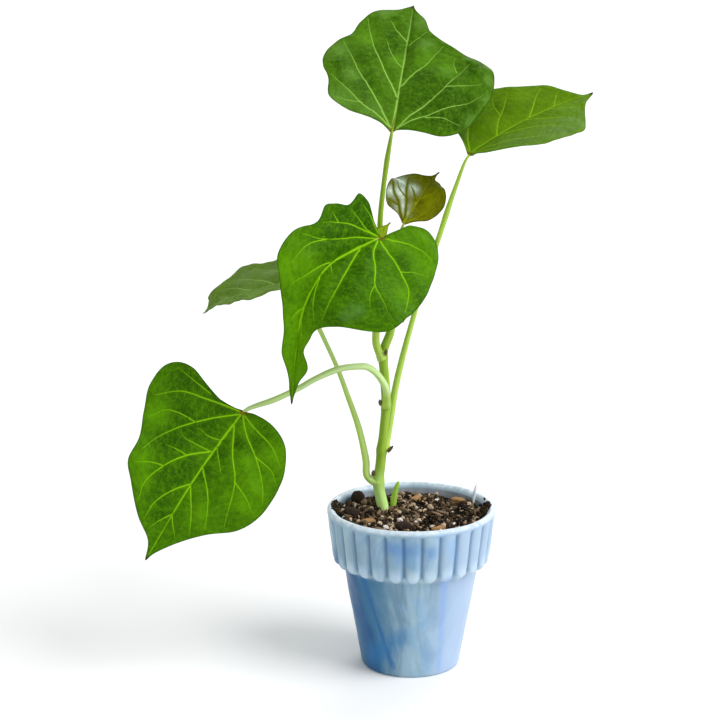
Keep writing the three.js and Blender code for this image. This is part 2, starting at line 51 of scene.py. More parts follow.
# Each leaf lies in its own plane: distance along the midrib from the joint, and half width, for
# the left and the right half as seen from above with the tip ahead. The midrib is a curve in
# space. `side` points to the right half at the joint and at the tip, `fold` is how far each half
# rises in degrees, and `curl` is how many degrees a millimetre that rise changes outwards.
# A vein is its half width and its route, with the left half's places negative. `dark`, `light` and
# `pale` are soft spots of painted shade, painted light and painted sheen: along, across and reach.
# On the young leaf the painted sheen is a painted reflection. `wave` is the height, length and start
# of the waves along the edge, `relief` scales the swellings between the veins, and `seed` picks the
# blade's own unevenness.
LEAVES = {
    "leaf_top": {
        "petiole": [(-7.4, 7.4, 128.2), (-9.2, 10.2, 134), (-10.2, 9.6, 143), (-11, 8.6, 153.3),
                    (-10, 7.4, 166.5), (-8.4, 6.4, 178.6), (-7.2, 5.4, 185.8)],
        "radii": [1.25, 1.1, 1.0, 0.9, 0.85],
        "midrib": [(-7.1, 6, 186.5), (-4.6, 18, 198.5), (-2.2, 34, 209.3), (0, 46, 219.5), (1, 52, 224.7)],
        "side": [(1, 0, 0), (1, 0, 0)],
        "fold": {"left": (14, 14), "right": (14, 14)},
        "curl": {"left": -0.6, "right": -0.6},
        "left": [(2.6, 4), (4, 9), (5, 16), (9.4, 22.9), (18, 24.5), (24, 27), (30.7, 27.5), (37, 24),
                 (41, 20), (48.5, 17), (54.3, 12), (57.4, 4.5)],
        "right": [(1.2, 3.3), (0, 9), (-1.8, 16.8), (0.3, 22.7), (8.6, 28), (17.4, 31.7), (27, 31.2),
                  (32.5, 26.3), (37, 20.3), (41.7, 13.8), (47.6, 7.7), (53.5, 5), (58, 1.2)],
        "veins": [
            (0.28, [(14.7, -0.6), (20.4, -3.4), (34.2, -9.9), (45.4, -13.9), (50, -15)]),
            (0.3, [(1.2, -0.3), (8.2, -5), (22.7, -14.3), (29.8, -17.6), (37, -21.5)]),
            (0.26, [(1.6, -0.7), (5.8, -6.3), (8.4, -11.5), (13.3, -17.1), (20, -24)]),
            (0.14, [(8.9, -11.6), (8.8, -16.4), (9.5, -21.5)]),
            (0.2, [(43.3, -0.2), (47.1, -4.1), (51.2, -7.2)]),
            (0.16, [(30, -0.4), (36, -5), (42, -7.5)]),
            (0.28, [(19.5, 0.7), (23.8, 2.9), (34.2, 10.1), (40, 13.1)]),
            (0.3, [(1.3, 1.4), (6.2, 5.1), (18.2, 15.7), (30.5, 23)]),
            (0.24, [(1.8, 1.7), (6.8, 10.3), (11.5, 20.4), (13.4, 25), (17, 29)]),
            (0.2, [(41.3, 0.9), (43.7, 3.1), (47.8, 6.8)]),
            (0.16, [(18.2, 15.7), (19.3, 21.5), (21, 28)]),
            (0.16, [(6.3, 10.4), (6.3, 16.4), (4, 23)]),
            (0.12, [(26, 19), (31, 17.5), (35, 18)]),
        ],
        "dark": [(36, -10, 5), (45, -6, 4), (12, 8, 6), (6, 15, 5), (12, 23, 5), (22, 9, 6), (18, -12, 4),
                 (17, 17, 5), (27, 23, 5), (25, -21, 4), (13, -11, 3), (30, -14, 3), (38, -4, 3), (4, 22, 4)],
        "light": [(33, -2, 3), (40, -13, 4), (27, 16, 4), (33, 9, 4)],
        "pale": [(8, -19, 6), (6, -8, 4), (52, 4, 3.5), (40, 7, 3), (33, -23, 4), (53, -10, 2.5), (15, 30, 2),
                 (6, 26, 2.5), (23, 30, 2), (20, -17, 3)],
        "wave": (0.3, 15, 0.4),
        "relief": 1.0,
        "seed": 3,
    },
    "leaf_right": {
        "petiole": [(-9.1, 6.4, 75.5), (-7.5, 8, 84), (-5.2, 9, 98.4), (0.9, 9, 123.2), (9.1, 8.5, 150.2),
                    (14.8, 8, 168.2), (18.5, 7.8, 177.7)],
        "radii": [1.3, 1.15, 1.0, 0.9, 0.9],
        "midrib": [(18.8, 8, 178.4), (28.3, 14, 183.7), (41.2, 21, 189.8), (52.8, 27, 193.9),
                   (62.7, 31, 196.6)],
        "side": [(0, -0.9, -0.45), (0, -0.9, -0.35)],
        "fold": {"left": (16, 16), "right": (26, -4)},
        "curl": {"left": -0.4, "right": -0.3},
        "left": [(2.5, 5.4), (4, 9), (6, 15), (10, 21), (17, 23), (23, 21.5), (29, 17.8), (35, 13.9),
                 (41, 10.3), (45, 5), (49, 0.9)],
        "right": [(1, 4), (1.5, 10), (4.8, 16), (8.5, 22), (15.5, 25), (22.6, 24.7), (29, 23), (34.2, 21.6),
                  (39, 16.5), (43, 11.2), (48, 4.4)],
        "veins": [
            (0.28, [(12.8, -0.1), (17.9, -5.4), (22.2, -8.5), (29, -15)]),
            (0.24, [(27, -0.2), (30.5, -3), (36, -8), (39, -10)]),
            (0.18, [(37.5, -0.1), (41.2, -4.2), (43, -5.5)]),
            (0.28, [(1.2, -0.6), (6, -7), (12.5, -13), (19, -19)]),
            (0.22, [(1, -1), (2.8, -6), (5.5, -12), (8, -17)]),
            (0.14, [(20, -7), (21, -12), (24, -17)]),
            (0.28, [(1.2, 0.8), (7, 7), (15, 14), (24, 21)]),
            (0.22, [(1, 1), (2.5, 7), (6, 14), (9, 20)]),
            (0.26, [(13, 0.2), (20, 6), (28, 13), (33, 19)]),
            (0.22, [(25, 0.2), (31, 6), (38, 12)]),
            (0.18, [(35, 0.1), (40, 4), (44, 7)]),
        ],
        "dark": [(12, -12, 4), (22, -10, 4), (30, -6, 3), (12, 16, 5), (28, 18, 4)],
        "light": [(18, -3, 4), (30, -10, 4), (40, 2, 4)],
        "pale": [(10, 12, 5), (22, 18, 5), (34, 15, 5), (4, -8, 3)],
        "wave": (0.12, 13, 1.9),
        "relief": 0.35,
        "seed": 5,
    },
    "leaf_front": {
        "petiole": [(-10.2, 4.8, 108.5), (-12.2, 2.6, 114), (-12.3, 1.4, 119.3), (-11.9, 0, 130.1),
                    (-11.2, -1.6, 143.6), (-10.9, -3, 151.4)],
        "radii": [1.35, 1.25, 1.1, 0.95],
        "midrib": [(-10.8, -4, 152.6), (-21.2, -14, 149.3), (-27, -20, 146.9), (-31.1, -24, 143),
                   (-36.3, -27, 132.6), (-38.8, -27, 118.2), (-40.4, -25, 100.4)],
        "side": [(-0.65, 0.2, 0.7), (-0.95, 0.29, 0.1)],
        "fold": {"left": (12, 12), "right": (40, 40)},
        "curl": {"left": -0.4, "right": -0.8},
        "left": [(-5, 1), (-12.8, 1.2), (-17.5, 5), (-16.5, 12), (-8.5, 20), (4.9, 27.5), (17, 30.6),
                 (27, 31.6), (33, 31), (38, 28.5), (41.5, 23), (44.3, 13), (47.6, 6.3), (52.2, 4.1),
                 (56, 3), (61, 5.2), (67.3, 2.1)],
        "right": [(1.8, 7.4), (1.8, 13), (4.7, 17), (9.8, 14.8), (14, 17), (18, 17.8), (22, 14.4),
                  (27.5, 17.2), (32, 16.8), (37, 12), (43.5, 7.2), (50, 5.3), (57, 4.9), (64.6, 2.1)],
        "veins": [
            (0.22, [(0.1, 0.4), (1.8, 4.2), (2.9, 8.9), (4.6, 14)]),
            (0.24, [(1, 0.5), (5.5, 4.5), (7.7, 9.1), (9.3, 13)]),
            (0.26, [(1.3, 0.6), (7.2, 5.1), (12.3, 9.1), (20.5, 13)]),
            (0.14, [(15.4, 11), (16.4, 15.5)]),
            (0.24, [(2.1, 0.1), (10.1, 3.5), (22, 7.9), (26.4, 14.4)]),
            (0.15, [(22, 7.9), (27.3, 10.6), (32, 11)]),
            (0.2, [(24.2, 0.6), (28.2, 2.4), (33, 5), (37, 8)]),
            (0.15, [(41.7, 0.2), (44.5, 2.4), (47, 3.6)]),
            (0.26, [(-0.5, -0.8), (-3.6, -3.9), (-7.7, -7.4), (-10, -12.3), (-10, -17.2)]),
            (0.32, [(1.5, -1.5), (2.3, -5.9), (3.2, -13.6), (7, -22.5), (17, -29)]),
            (0.15, [(3.3, -14.5), (-1, -17.1), (-5, -20.5)]),
            (0.3, [(2.2, -0.8), (6.9, -3.8), (11.4, -9.1), (18.6, -15.6), (24, -23), (30.5, -27.3)]),
            (0.15, [(18.5, -15.6), (27.2, -18.1), (33, -21)]),
            (0.28, [(10.5, -0.7), (25.5, -6.4), (37.6, -7.6), (43.5, -7.5)]),
            (0.2, [(30.5, -0.4), (35.3, -1.4), (40.6, -3.1), (45.5, -5.2)]),
            (0.12, [(24.4, -0.2), (27.5, -3.4)]),
            (0.14, [(46, -0.1), (52, -1.8)]),
        ],
        "dark": [(12, 9.5, 6), (18.5, 10.5, 5), (3.5, 7, 5), (7, 4, 4), (3, 12, 4), (10, 14, 3.5), (25, 6, 4),
                 (16, 5, 4), (19, -8, 6), (29, -11, 5), (28, -24, 5), (1, -12, 3.5), (9, -4, 4), (20, 0, 4),
                 (5, -26, 4), (42, -12, 3)],
        "light": [(34, 12, 6), (31, 6, 4), (44, 2, 5), (52, 1, 6), (58, 1, 6), (63, 0, 5), (-14, -8, 6),
                  (-8, -16, 6), (-2, -4, 3), (10, -23, 4)],
        "pale": [(35, -17, 2.6), (39, -15, 2.0)],
        "wave": (0.3, 14, 2.6),
        "relief": 0.9,
        "seed": 7,
    },
    "leaf_low_left": {
        "petiole": [(-8.9, 4.6, 91.5), (-9, 1, 99), (-12.4, -2, 105.2), (-15.4, -3.6, 107.6),
                    (-19.2, -5.3, 108.2), (-25.2, -7.8, 107.9), (-33.3, -10.6, 105), (-38, -12, 102.6),
                    (-46.4, -13.2, 98.8), (-56, -13.2, 95.2)],
        "radii": [1.3, 1.2, 1.15, 1.1, 1.0, 0.95],
        "midrib": [(-56.9, -14, 94.9), (-64.2, -18, 86), (-74.2, -24, 72.5), (-86, -28, 53.4),
                   (-89.6, -29, 47.4)],
        "side": [(-1, 0, 0), (-1, 0, 0)],
        "fold": {"left": (12, 12), "right": (12, 12)},
        "curl": {"left": -0.5, "right": -0.5},
        "left": [(-1.2, 3.2), (-1.8, 11), (1.2, 18.7), (7.7, 23.6), (14, 25.5), (20.5, 26.2), (27, 25.5),
                 (35, 21.6), (42, 13.2), (50, 5.9), (57, 1.2)],
        "right": [(0.9, 3.4), (1.6, 12), (-1.3, 22), (0, 27.5), (4, 30.6), (11, 30.6), (19, 27), (27, 23),
                  (34, 22.2), (39, 18), (48, 9.8), (54, 2.5)],
        "veins": [
            (0.28, [(0.9, 1), (2.6, 7), (4.6, 12.8), (7.4, 20.7), (13, 27)]),
            (0.14, [(2.2, 12.4), (2, 20.5), (1.8, 27)]),
            (0.28, [(1.6, 0.4), (8.7, 7.3), (16, 13.4), (23.6, 18.1), (29, 20)]),
            (0.16, [(12.5, 11), (12.9, 15.1), (13.6, 18.5), (15, 21.3), (20, 24.6)]),
            (0.28, [(17.2, 0.4), (23.1, 6.6), (29.8, 11), (37.1, 13.6), (42.5, 12.6)]),
            (0.15, [(23.1, 6.8), (23.2, 9.8), (23.8, 14)]),
            (0.15, [(30, 11.4), (30.9, 15), (33.4, 19.8)]),
            (0.24, [(30.4, 0.3), (34.8, 4.1), (41.7, 7.4), (47.5, 7.6)]),
            (0.15, [(17.5, 1), (18.4, 6.7), (18.6, 10.9), (17.4, 13)]),
            (0.14, [(12.6, 0.4), (13.8, 4.5), (13.4, 8.6)]),
            (0.16, [(42, 0.2), (46.3, 3), (50, 4.6)]),
            (0.26, [(1.4, -0.8), (5.8, -5.8), (10.8, -13.7), (18.2, -21.4), (23, -24.3)]),
            (0.16, [(10.3, -13.6), (11.1, -20.1), (14, -24)]),
            (0.22, [(1, -1), (2.4, -6.2), (4.1, -15.5), (8, -22)]),
            (0.28, [(5.8, -0.4), (14.4, -6.4), (22, -12.5), (36, -17)]),
            (0.18, [(21.6, -12.3), (24.3, -18.9), (27.5, -23.5)]),
            (0.24, [(23.5, -0.4), (31.4, -7.8), (41, -12.3)]),
            (0.22, [(31, -0.3), (38.3, -5.3), (45, -8.7)]),
            (0.18, [(42.5, -0.2), (48.5, -4.9)]),
            (0.14, [(15.4, -0.4), (22, -7.1)]),
        ],
        "dark": [(16, 11, 5), (11, 6.5, 4.5), (21, 13, 4), (3, 6, 3.5), (25, 5, 3.5), (30, 4, 3.5),
                 (38, 6, 3.5), (16, -3, 3), (-1, 13, 5), (25, -2.5, 3), (5, -11, 3), (3, 22, 6),
                 (24, 15, 4), (33, 9, 4), (44, 4, 3), (13, 16, 4), (10, -6, 2.5)],
        "light": [(17, 23, 4), (37, 14, 3), (6, -18, 5), (18, -18, 5), (26, -19, 5), (37, -8, 4), (4, -5, 3),
                  (31, 19, 3), (14, -12, 3)],
        "pale": [],
        "wave": (0.25, 17, 0.9),
        "relief": 0.7,
        "seed": 11,
    },
    "leaf_back": {
        "petiole": [(-11, 6, 63.8), (-13.4, 6.3, 64), (-15.4, 6.8, 66), (-15.7, 7.5, 71), (-18.1, 9, 82.1),
                    (-22.1, 10.5, 93.9), (-25.8, 12, 103.7), (-31.8, 14, 116.6), (-36.3, 15.5, 126.4),
                    (-38.6, 16, 132.8)],
        "radii": [1.3, 1.15, 0.95, 0.85, 0.8],
        "midrib": [(-39.2, 16, 133.7), (-45.9, 18, 132), (-58, 22, 127.8), (-69.1, 25, 122.9),
                   (-73, 26, 119.5)],
        "side": [(0, 0.95, 0.3), (0, 0.95, 0.3)],
        "fold": {"left": (22, 22), "right": (6, 6)},
        "curl": {"left": -0.4, "right": -0.3},
        "left": [(-1, 4), (0, 9), (4, 13.5), (9.4, 15.5), (14, 15.8), (20, 13.2), (26, 11), (31, 7.5),
                 (35.5, 2.8)],
        "right": [(-1, 4), (-1, 9), (2, 13), (6, 14.8), (10.8, 15.2), (18.3, 16.4), (25.3, 18), (29, 12.8),
                  (33.6, 9.5), (36, 8.2), (35.6, 5.5), (36.4, 2.5)],
        "veins": [
            (0.2, [(0.8, 0.8), (5, 5), (12, 9.5), (20, 13.5)]),
            (0.18, [(0.4, 1), (1.2, 6), (4, 12)]),
            (0.2, [(9, 0.2), (15, 4.5), (23, 9), (28, 11)]),
            (0.18, [(18, 0.2), (24, 4), (31, 7.5)]),
            (0.2, [(0.8, -0.8), (5, -5), (10, -9.5), (15, -14)]),
            (0.18, [(0.4, -1), (1.2, -6), (4, -12)]),
            (0.2, [(9, -0.2), (15, -4.5), (21, -8.5), (24, -10.5)]),
            (0.18, [(18, -0.2), (24, -4), (30, -6.5)]),
            (0.14, [(27, -0.1), (31, -2.6)]),
            (0.14, [(27, 0.1), (32, 3.4)]),
        ],
        "dark": [(8, 5, 3), (16, -6, 3), (24, 4, 3)],
        "light": [(20, 1, 3), (12, -10, 3)],
        "pale": [(12, 8, 4), (22, 9, 4), (28, -4, 3)],
        "wave": (0.25, 11, 0.2),
        "relief": 0.7,
        "seed": 13,
    },
    "leaf_young": {
        "petiole": [(-8, 7.5, 137), (-7, 9.6, 142), (-4.6, 10.8, 149.6), (-3.1, 10.9, 153.7)],
        "radii": [0.8, 0.65, 0.6],
        "midrib": [(-2.9, 11, 154.3), (3.5, 17, 163.4), (5.7, 21, 166.7), (9.6, 25, 169.9)],
        "side": [(1, 0, 0), (1, 0, 0)],
        "fold": {"left": (14, 14), "right": (14, 14)},
        "curl": {"left": -0.5, "right": -0.5},
        "left": [(0.8, 1.7), (2.2, 4.6), (2.5, 8), (5.4, 10.6), (10, 12), (15, 10.8), (18.5, 6), (19.9, 2.8),
                 (22, 0.8)],
        "right": [(1.2, 1.7), (3, 4), (5, 7.2), (8.5, 8.9), (12, 9.3), (15.7, 7.2), (19.5, 4.2), (20.7, 1.4),
                  (23, 0.5)],
        "veins": [
            (0.34, [(0.8, -0.3), (3.8, -1.6), (7.4, -3.4), (11.2, -5.5), (16.4, -6.6)]),
            (0.36, [(0.6, -0.5), (2.4, -2.8), (5.6, -5.7), (8, -8.8), (11, -10.8)]),
            (0.2, [(4.6, -5), (4.5, -9.2)]),
            (0.24, [(8.4, -0.2), (10.4, -1.8), (13.4, -4.4)]),
            (0.14, [(8.4, -4), (10.2, -8), (13, -10)]),
            (0.1, [(1, 0.4), (5, 3.4), (9.5, 6), (12.9, 7.8)]),
            (0.1, [(0.6, 0.6), (2.9, 2.4), (5.4, 6.4)]),
            (0.1, [(10.8, 0.4), (14, 3.6), (16.4, 5.4)]),
        ],
        "dark": [(9, 1, 1.5), (20, -1.5, 2.5)],
        "light": [(12, 4, 2.5)],
        "pale": [(4.5, -3.4, 2.2), (9, -6.8, 2.4), (13, -3.6, 1.9), (13.5, -8.5, 2.3), (7.4, -10, 1.8),
                 (3.4, -1, 1.2)],
        "wave": (0.12, 8, 1.2),
        "relief": 0.6,
        "seed": 17,
    },
}

BUD_LEAF = {
    "midrib": [(-11, 5.4, 151), (-9.6, 4.2, 153.6), (-7.5, 3.4, 156.2)],
    "side": [(0.8, -0.3, -0.5), (0.8, -0.3, -0.5)],
    "fold": {"left": (30, 30), "right": (30, 30)},
    "curl": {"left": 0, "right": 0},
    "left": [(0.4, 1.4), (1.6, 2.4), (3.4, 1.8), (5, 0.6)],
    "right": [(0.4, 1.4), (1.6, 2.4), (3.4, 1.8), (5, 0.6)],
    "veins": [(0.07, [(0.5, 0.1), (2.6, 1.4)]), (0.07, [(0.5, -0.1), (2.6, -1.4)])],
    "dark": [],
    "light": [(2, 0, 1.2)],
    "pale": [],
    "wave": (0.06, 3, 0.5),
    "relief": 1.0,
    "seed": 19,
}

STEM = {
    "points": [(-5.5, 7.2, 36), (-7.2, 7, 45), (-9.3, 6.8, 52.5), (-11.3, 6.5, 63.4), (-10.6, 6.3, 71.2),
               (-9.5, 5.9, 83), (-8.8, 5.6, 91.7), (-9.3, 5.5, 102), (-9.7, 5.5, 110.6), (-7.3, 6.2, 118),
               (-7.1, 7, 128.6), (-8, 6.6, 139.2), (-9, 6.2, 147.4)],
    "radii": [1.7, 2.0, 1.95, 1.7, 1.6, 1.6, 1.6, 1.55, 1.4, 1.2, 1.0],
    "nodes": [63.8, 75.5, 91.7, 108.8, 128.4, 137.5],  # heights where a petiole leaves the stem
}

# The pot's profile is radius and height.
POT = {
    "ribs": 28,
    "rib_depth": 1.3,
    "rib_crown": 0.12,
    "underside": [(15.6, 0), (16.4, 0), (16.75, 0.12), (17.05, 0.4)],
    "body": [(17.2, 0.8), (23.4, 36.2)],
    "band": [(27.3, 40.4), (28.9, 53.6)],
    "lip": [(29.28, 55.3), (29.2, 56.1), (28.7, 56.8), (28.0, 57), (27.3, 56.8), (26.75, 56.2), (26.4, 55.4)],
    "inside": [(26.3, 55.0), (25.6, 52), (24.2, 47), (21.6, 37.5), (18, 20), (15.6, 5.2), (14.6, 4.1),
               (13.5, 4.0)],
}

SOIL_TOP = 52.2

# Each bud's base, end and radius.
AXIL_BUDS = {
    "axil_bud_lowest": ((-13.3, 5.6, 66.2), (-13.1, 5.0, 68.4), 0.6),
    "axil_bud_low": ((-8, 5.2, 75), (-6.3, 4.2, 77.4), 0.65),
    "axil_bud_middle": ((-10.7, 3.9, 92.2), (-11, 3.0, 94.4), 0.6),
    "axil_bud_upper": ((-8.9, 3.4, 110.2), (-8.8, 2.4, 112.4), 0.55),
}

CAMERA_PLACE = (-17.8, -681.5, 279.1)
CAMERA_PITCH = 76  # degrees from straight down
CAMERA_LENS = 102.9
FLOOR_REACH = 9.0  # metres from the pot to the edge of the floor

# ---------------------------------------------------------------- curves, noise and meshes


def unit(vectors):
    return vectors / np.maximum(np.linalg.norm(vectors, axis=-1, keepdims=True), 1e-12)


class Route:
    """A smooth curve through points, measured along its own length."""

    def __init__(self, points, steps=24):
        points = np.array(points, float)
        padded = [2 * points[0] - points[1], *points, 2 * points[-1] - points[-2]]
        t = np.linspace(0, 1, steps, endpoint=False)[:, None]
        stretches = []
        for p0, p1, p2, p3 in zip(padded, padded[1:], padded[2:], padded[3:]):
            d0, d1, d2 = (np.linalg.norm(b - a) ** 0.5 for a, b in ((p0, p1), (p1, p2), (p2, p3)))
            start = ((p1 - p0) / d0 - (p2 - p0) / (d0 + d1)) * d1 + (p2 - p1)
            end = ((p3 - p2) / d2 - (p3 - p1) / (d1 + d2)) * d1 + (p2 - p1)
            stretches.append((2 * t**3 - 3 * t**2 + 1) * p1 + (t**3 - 2 * t**2 + t) * start
                             + (3 * t**2 - 2 * t**3) * p2 + (t**3 - t**2) * end)
        self.line = np.vstack([*stretches, points[-1:]])
        self.place = np.concatenate([[0], np.cumsum(np.linalg.norm(np.diff(self.line, axis=0), axis=1))])
        self.length = self.place[-1]

    def at(self, share):
        place = np.asarray(share) * self.length
        return np.stack([np.interp(place, self.place, axis) for axis in self.line.T], -1)

    def tangent(self, share, reach=0.005):
        share = np.asarray(share)
        ahead = self.at(np.clip(share + reach, 0, 1))
        return unit(ahead - self.at(np.clip(share - reach, 0, 1)))


WAVES = 12


def ripple(points, wavelength, seed):
    """Soft bumps around zero: a sum of plane waves in seeded directions."""
    random = np.random.default_rng(seed)
    directions = unit(random.normal(size=(WAVES, points.shape[-1])))
    lengths = wavelength * random.uniform(0.6, 1.6, WAVES)
    phases = random.uniform(0, TURN, WAVES)
    return np.sin(points @ (directions / lengths[:, None]).T * TURN + phases).sum(-1) / math.sqrt(WAVES)


def smooth_step(low, high, values):
    t = np.clip((values - low) / (high - low), 0, 1)
    return t * t * (3 - 2 * t)


def spread(values, share):
    """A value picked from a list that is spread evenly from 0 to 1."""
    return np.interp(share, np.linspace(0, 1, len(values)), values)


def grid_faces(rows, columns, closed=False):
    """Quads between the points of a grid that is kept row by row."""
    row = np.arange(rows - 1)[:, None]
    column = np.arange(columns if closed else columns - 1)[None, :]
    after = (column + 1) % columns
    corners = [row * columns + column, row * columns + after,
               (row + 1) * columns + after, (row + 1) * columns + column]
    return np.stack(corners, -1).reshape(-1, 4)


def tube_faces(rings, columns):
    """The sides and the two end caps of a closed tube."""
    last = rings * columns
    caps = [list(range(columns))[::-1], list(range(last - columns, last))]
    return grid_faces(rings, columns, closed=True), caps


def encloses(points, faces):
    """Six times the volume inside the faces, negative if they point inwards."""
    corners = points[faces].transpose(1, 0, 2)
    return sum(float((corners[0] * np.cross(corners[i], corners[i + 1])).sum())
               for i in range(1, len(corners) - 1))


def make_piece(name, points, faces, material, measures=None, caps=(), replaces=(), flat=False):
    """A mesh object in metres, with named measures on its points, that rides on the plant."""
    faces = np.asarray(faces)
    if encloses(points, faces) < 0:
        faces = faces[:, ::-1]
        caps = [cap[::-1] for cap in caps]
    mesh = bpy.data.meshes.new(name)
    mesh.from_pydata((points * MM).tolist(), [], faces.tolist() + [list(cap) for cap in caps])
    for key, values in (measures or {}).items():
        kind, field = ("FLOAT", "value") if values.ndim == 1 else ("FLOAT_VECTOR", "vector")
        layer = mesh.attributes.new(key, kind, "POINT")
        layer.data.foreach_set(field, np.ascontiguousarray(values, np.float32).ravel())
    if not flat:
        mesh.shade_smooth()
    mesh.materials.append(material)
    piece = bpy.data.objects.new(name, mesh)
    bpy.context.scene.collection.objects.link(piece)
    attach(piece, "root")
    if replaces:
        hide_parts(*replaces)
    return piece


# ---------------------------------------------------------------- shader building


MIX = {"factor": 0, "first": 6, "second": 7, "result": 2}  # the sockets of a Mix node for colours


class Nodes:
    """Adds nodes to a tree: a socket given as an input is linked, and a value is set on it."""

    def __init__(self, tree):
        self.tree = tree

    def feed(self, socket, value):
        if isinstance(value, bpy.types.NodeSocket):
            self.tree.links.new(value, socket)
        else:
            socket.default_value = value

    def add(self, kind, inputs=None, **settings):
        node = self.tree.nodes.new(kind)
        for key, value in settings.items():
            setattr(node, key, value)
        for key, value in (inputs or {}).items():
            self.feed(node.inputs[key], value)
        return node

    def math(self, operation, *values, clamp=False):
        node = self.add("ShaderNodeMath", dict(enumerate(values)), operation=operation, use_clamp=clamp)
        return node.outputs[0]

    def scaled(self, value, factor):
        return self.math("MULTIPLY", value, factor)

    def total(self, start, *parts):
        """A start value plus more values, each times its weight."""
        for value, weight in parts:
            start = self.math("ADD", start, self.scaled(value, weight))
        return start

    def vector(self, operation, *values):
        return self.add("ShaderNodeVectorMath", dict(enumerate(values)), operation=operation).outputs[0]

    def stretched(self, vector, factor):
        return self.add("ShaderNodeVectorMath", {0: vector, "Scale": factor}, operation="SCALE").outputs[0]

    def compare(self, operation, first, second):
        """The dot product or the distance of two vectors."""
        return self.add("ShaderNodeVectorMath", {0: first, 1: second}, operation=operation).outputs["Value"]

    def step(self, value, low, high, start=0.0, end=1.0):
        """A smooth change from start to end while the value goes from low to high."""
        inputs = {"Value": value, "From Min": low, "From Max": high, "To Min": start, "To Max": end}
        return self.add("ShaderNodeMapRange", inputs, interpolation_type="SMOOTHSTEP").outputs["Result"]

    def split(self, vector):
        return self.add("ShaderNodeSeparateXYZ", {"Vector": vector}).outputs

    def join(self, x, y, z):
        return self.add("ShaderNodeCombineXYZ", {"X": x, "Y": y, "Z": z}).outputs[0]

    def blend(self, factor, first, second):
        node = self.add("ShaderNodeMix", {MIX["factor"]: factor}, data_type="RGBA")
        for key, colour in (("first", first), ("second", second)):
            colour = (*colour, 1) if isinstance(colour, tuple) else colour
            self.feed(node.inputs[MIX[key]], colour)
        return node.outputs[MIX["result"]]

    def layers(self, colour, *tints):
        """Lays tints over a colour in turn: where each shows, how much of it, and its colour."""
        for mask, amount, tint in tints:
            colour = self.blend(self.scaled(mask, amount), colour, tint)
        return colour

    def noise(self, vector, scale, detail=3.0, roughness=0.55, distortion=0.0):
        inputs = {"Vector": vector, "Scale": scale, "Detail": detail, "Roughness": roughness,
                  "Distortion": distortion}
        return self.add("ShaderNodeTexNoise", inputs).outputs["Fac"]

    def measure(self, name, kind="Vector"):
        return self.add("ShaderNodeAttribute", attribute_name=name).outputs[kind]

    def solid_place(self):
        """The place in the object, in millimetres."""
        place = self.add("ShaderNodeTexCoord").outputs["Object"]
        return self.vector("MULTIPLY", place, (1 / MM,) * 3)

    def use(self, group, **inputs):
        """A node group's outputs, with its inputs given in small letters."""
        inputs = {key.replace("_", " ").title(): value for key, value in inputs.items()}
        return self.add("ShaderNodeGroup", inputs, node_tree=group).outputs


SOCKETS = {"vector": "NodeSocketVector", "value": "NodeSocketFloat"}
ORIGIN = (0.0, 0.0, 0.0)


def shader_group(name, inputs, outputs, build):
    """A node group with named sockets. build() gets the nodes and inputs, and returns the outputs."""
    tree = bpy.data.node_groups.new(name, "ShaderNodeTree")
    for label, default in inputs.items():
        kind = "vector" if isinstance(default, tuple) else "value"
        socket = tree.interface.new_socket(label, in_out="INPUT", socket_type=SOCKETS[kind])
        socket.default_value = default
    for label in outputs:
        tree.interface.new_socket(label, in_out="OUTPUT", socket_type=SOCKETS["value"])
    start = tree.nodes.new("NodeGroupInput")
    end = tree.nodes.new("NodeGroupOutput")
    for label, socket in build(Nodes(tree), start.outputs).items():
        tree.links.new(socket, end.inputs[label])
    return tree


VEIN_SETS = 7  # each set holds three veins


def build_vein_lines(nodes, given):
    nearest = None
    for index in range(VEIN_SETS):
        here = nodes.vector("ABSOLUTE", nodes.measure(f"veins_{index}"))
        nearest = here if nearest is None else nodes.vector("MINIMUM", nearest, here)
    x, y, z = nodes.split(nearest)
    least = nodes.math("MINIMUM", nodes.math("MINIMUM", x, y), z)
    return {"Line": nodes.step(least, given["Core"], given["Edge"], 1.0, 0.0),
            "Glow": nodes.step(least, given["Core"], given["Glow Reach"], 1.0, 0.0)}


BEND_DENSITY = 0.35
CELL_MIDDLE = 0.5  # the distance from a cell's edge at which its swelling is full


def build_cell_network(nodes, given):
    """Fine lines between bent cells, and a swelling inside each cell."""
    way = nodes.add("ShaderNodeTexNoise", {"Vector": given["Place"], "Scale": BEND_DENSITY}).outputs["Color"]
    bent = nodes.vector("ADD", given["Place"], nodes.stretched(way, given["Bend"]))
    edge = nodes.add("ShaderNodeTexVoronoi", {"Vector": bent, "Scale": given["Density"]},
                     feature="DISTANCE_TO_EDGE").outputs["Distance"]
    return {"Line": nodes.step(edge, 0.0, given["Line Width"], 1.0, 0.0),
            "Swell": nodes.step(edge, 0.0, CELL_MIDDLE)}


def build_mottle(nodes, given):
    """Uneven patches between 0 and 1, at one size and at a fifth of it."""
    large = nodes.noise(given["Place"], given["Density"], 4.0, 0.6)
    small = nodes.noise(given["Place"], nodes.scaled(given["Density"], 5.0), 3.0, 0.6)
    both = nodes.math("ADD", nodes.scaled(large, 0.7), nodes.scaled(small, 0.3))
    half = nodes.math("DIVIDE", 0.5, given["Contrast"])
    low, high = (nodes.math(operation, 0.5, half) for operation in ("SUBTRACT", "ADD"))
    return {"Patches": nodes.step(both, low, high), "Grain": small}


def build_long_streaks(nodes, given):
    """Fibres that run along a stalk: the place holds its round direction and its length."""
    drawn = nodes.vector("MULTIPLY", given["Round Place"], nodes.join(1.0, 1.0, given["Stretch"]))
    return {"Streaks": nodes.step(nodes.noise(drawn, given["Density"], 3.0, 0.6), 0.35, 0.68)}


def build_near_point(nodes, given):
    """A mask that fades from 1 to 0 as a distance grows from inner to outer."""
    return {"Mask": nodes.step(given["Distance"], given["Inner"], given["Outer"], 1.0, 0.0)}


WOBBLE_DENSITY = 0.14


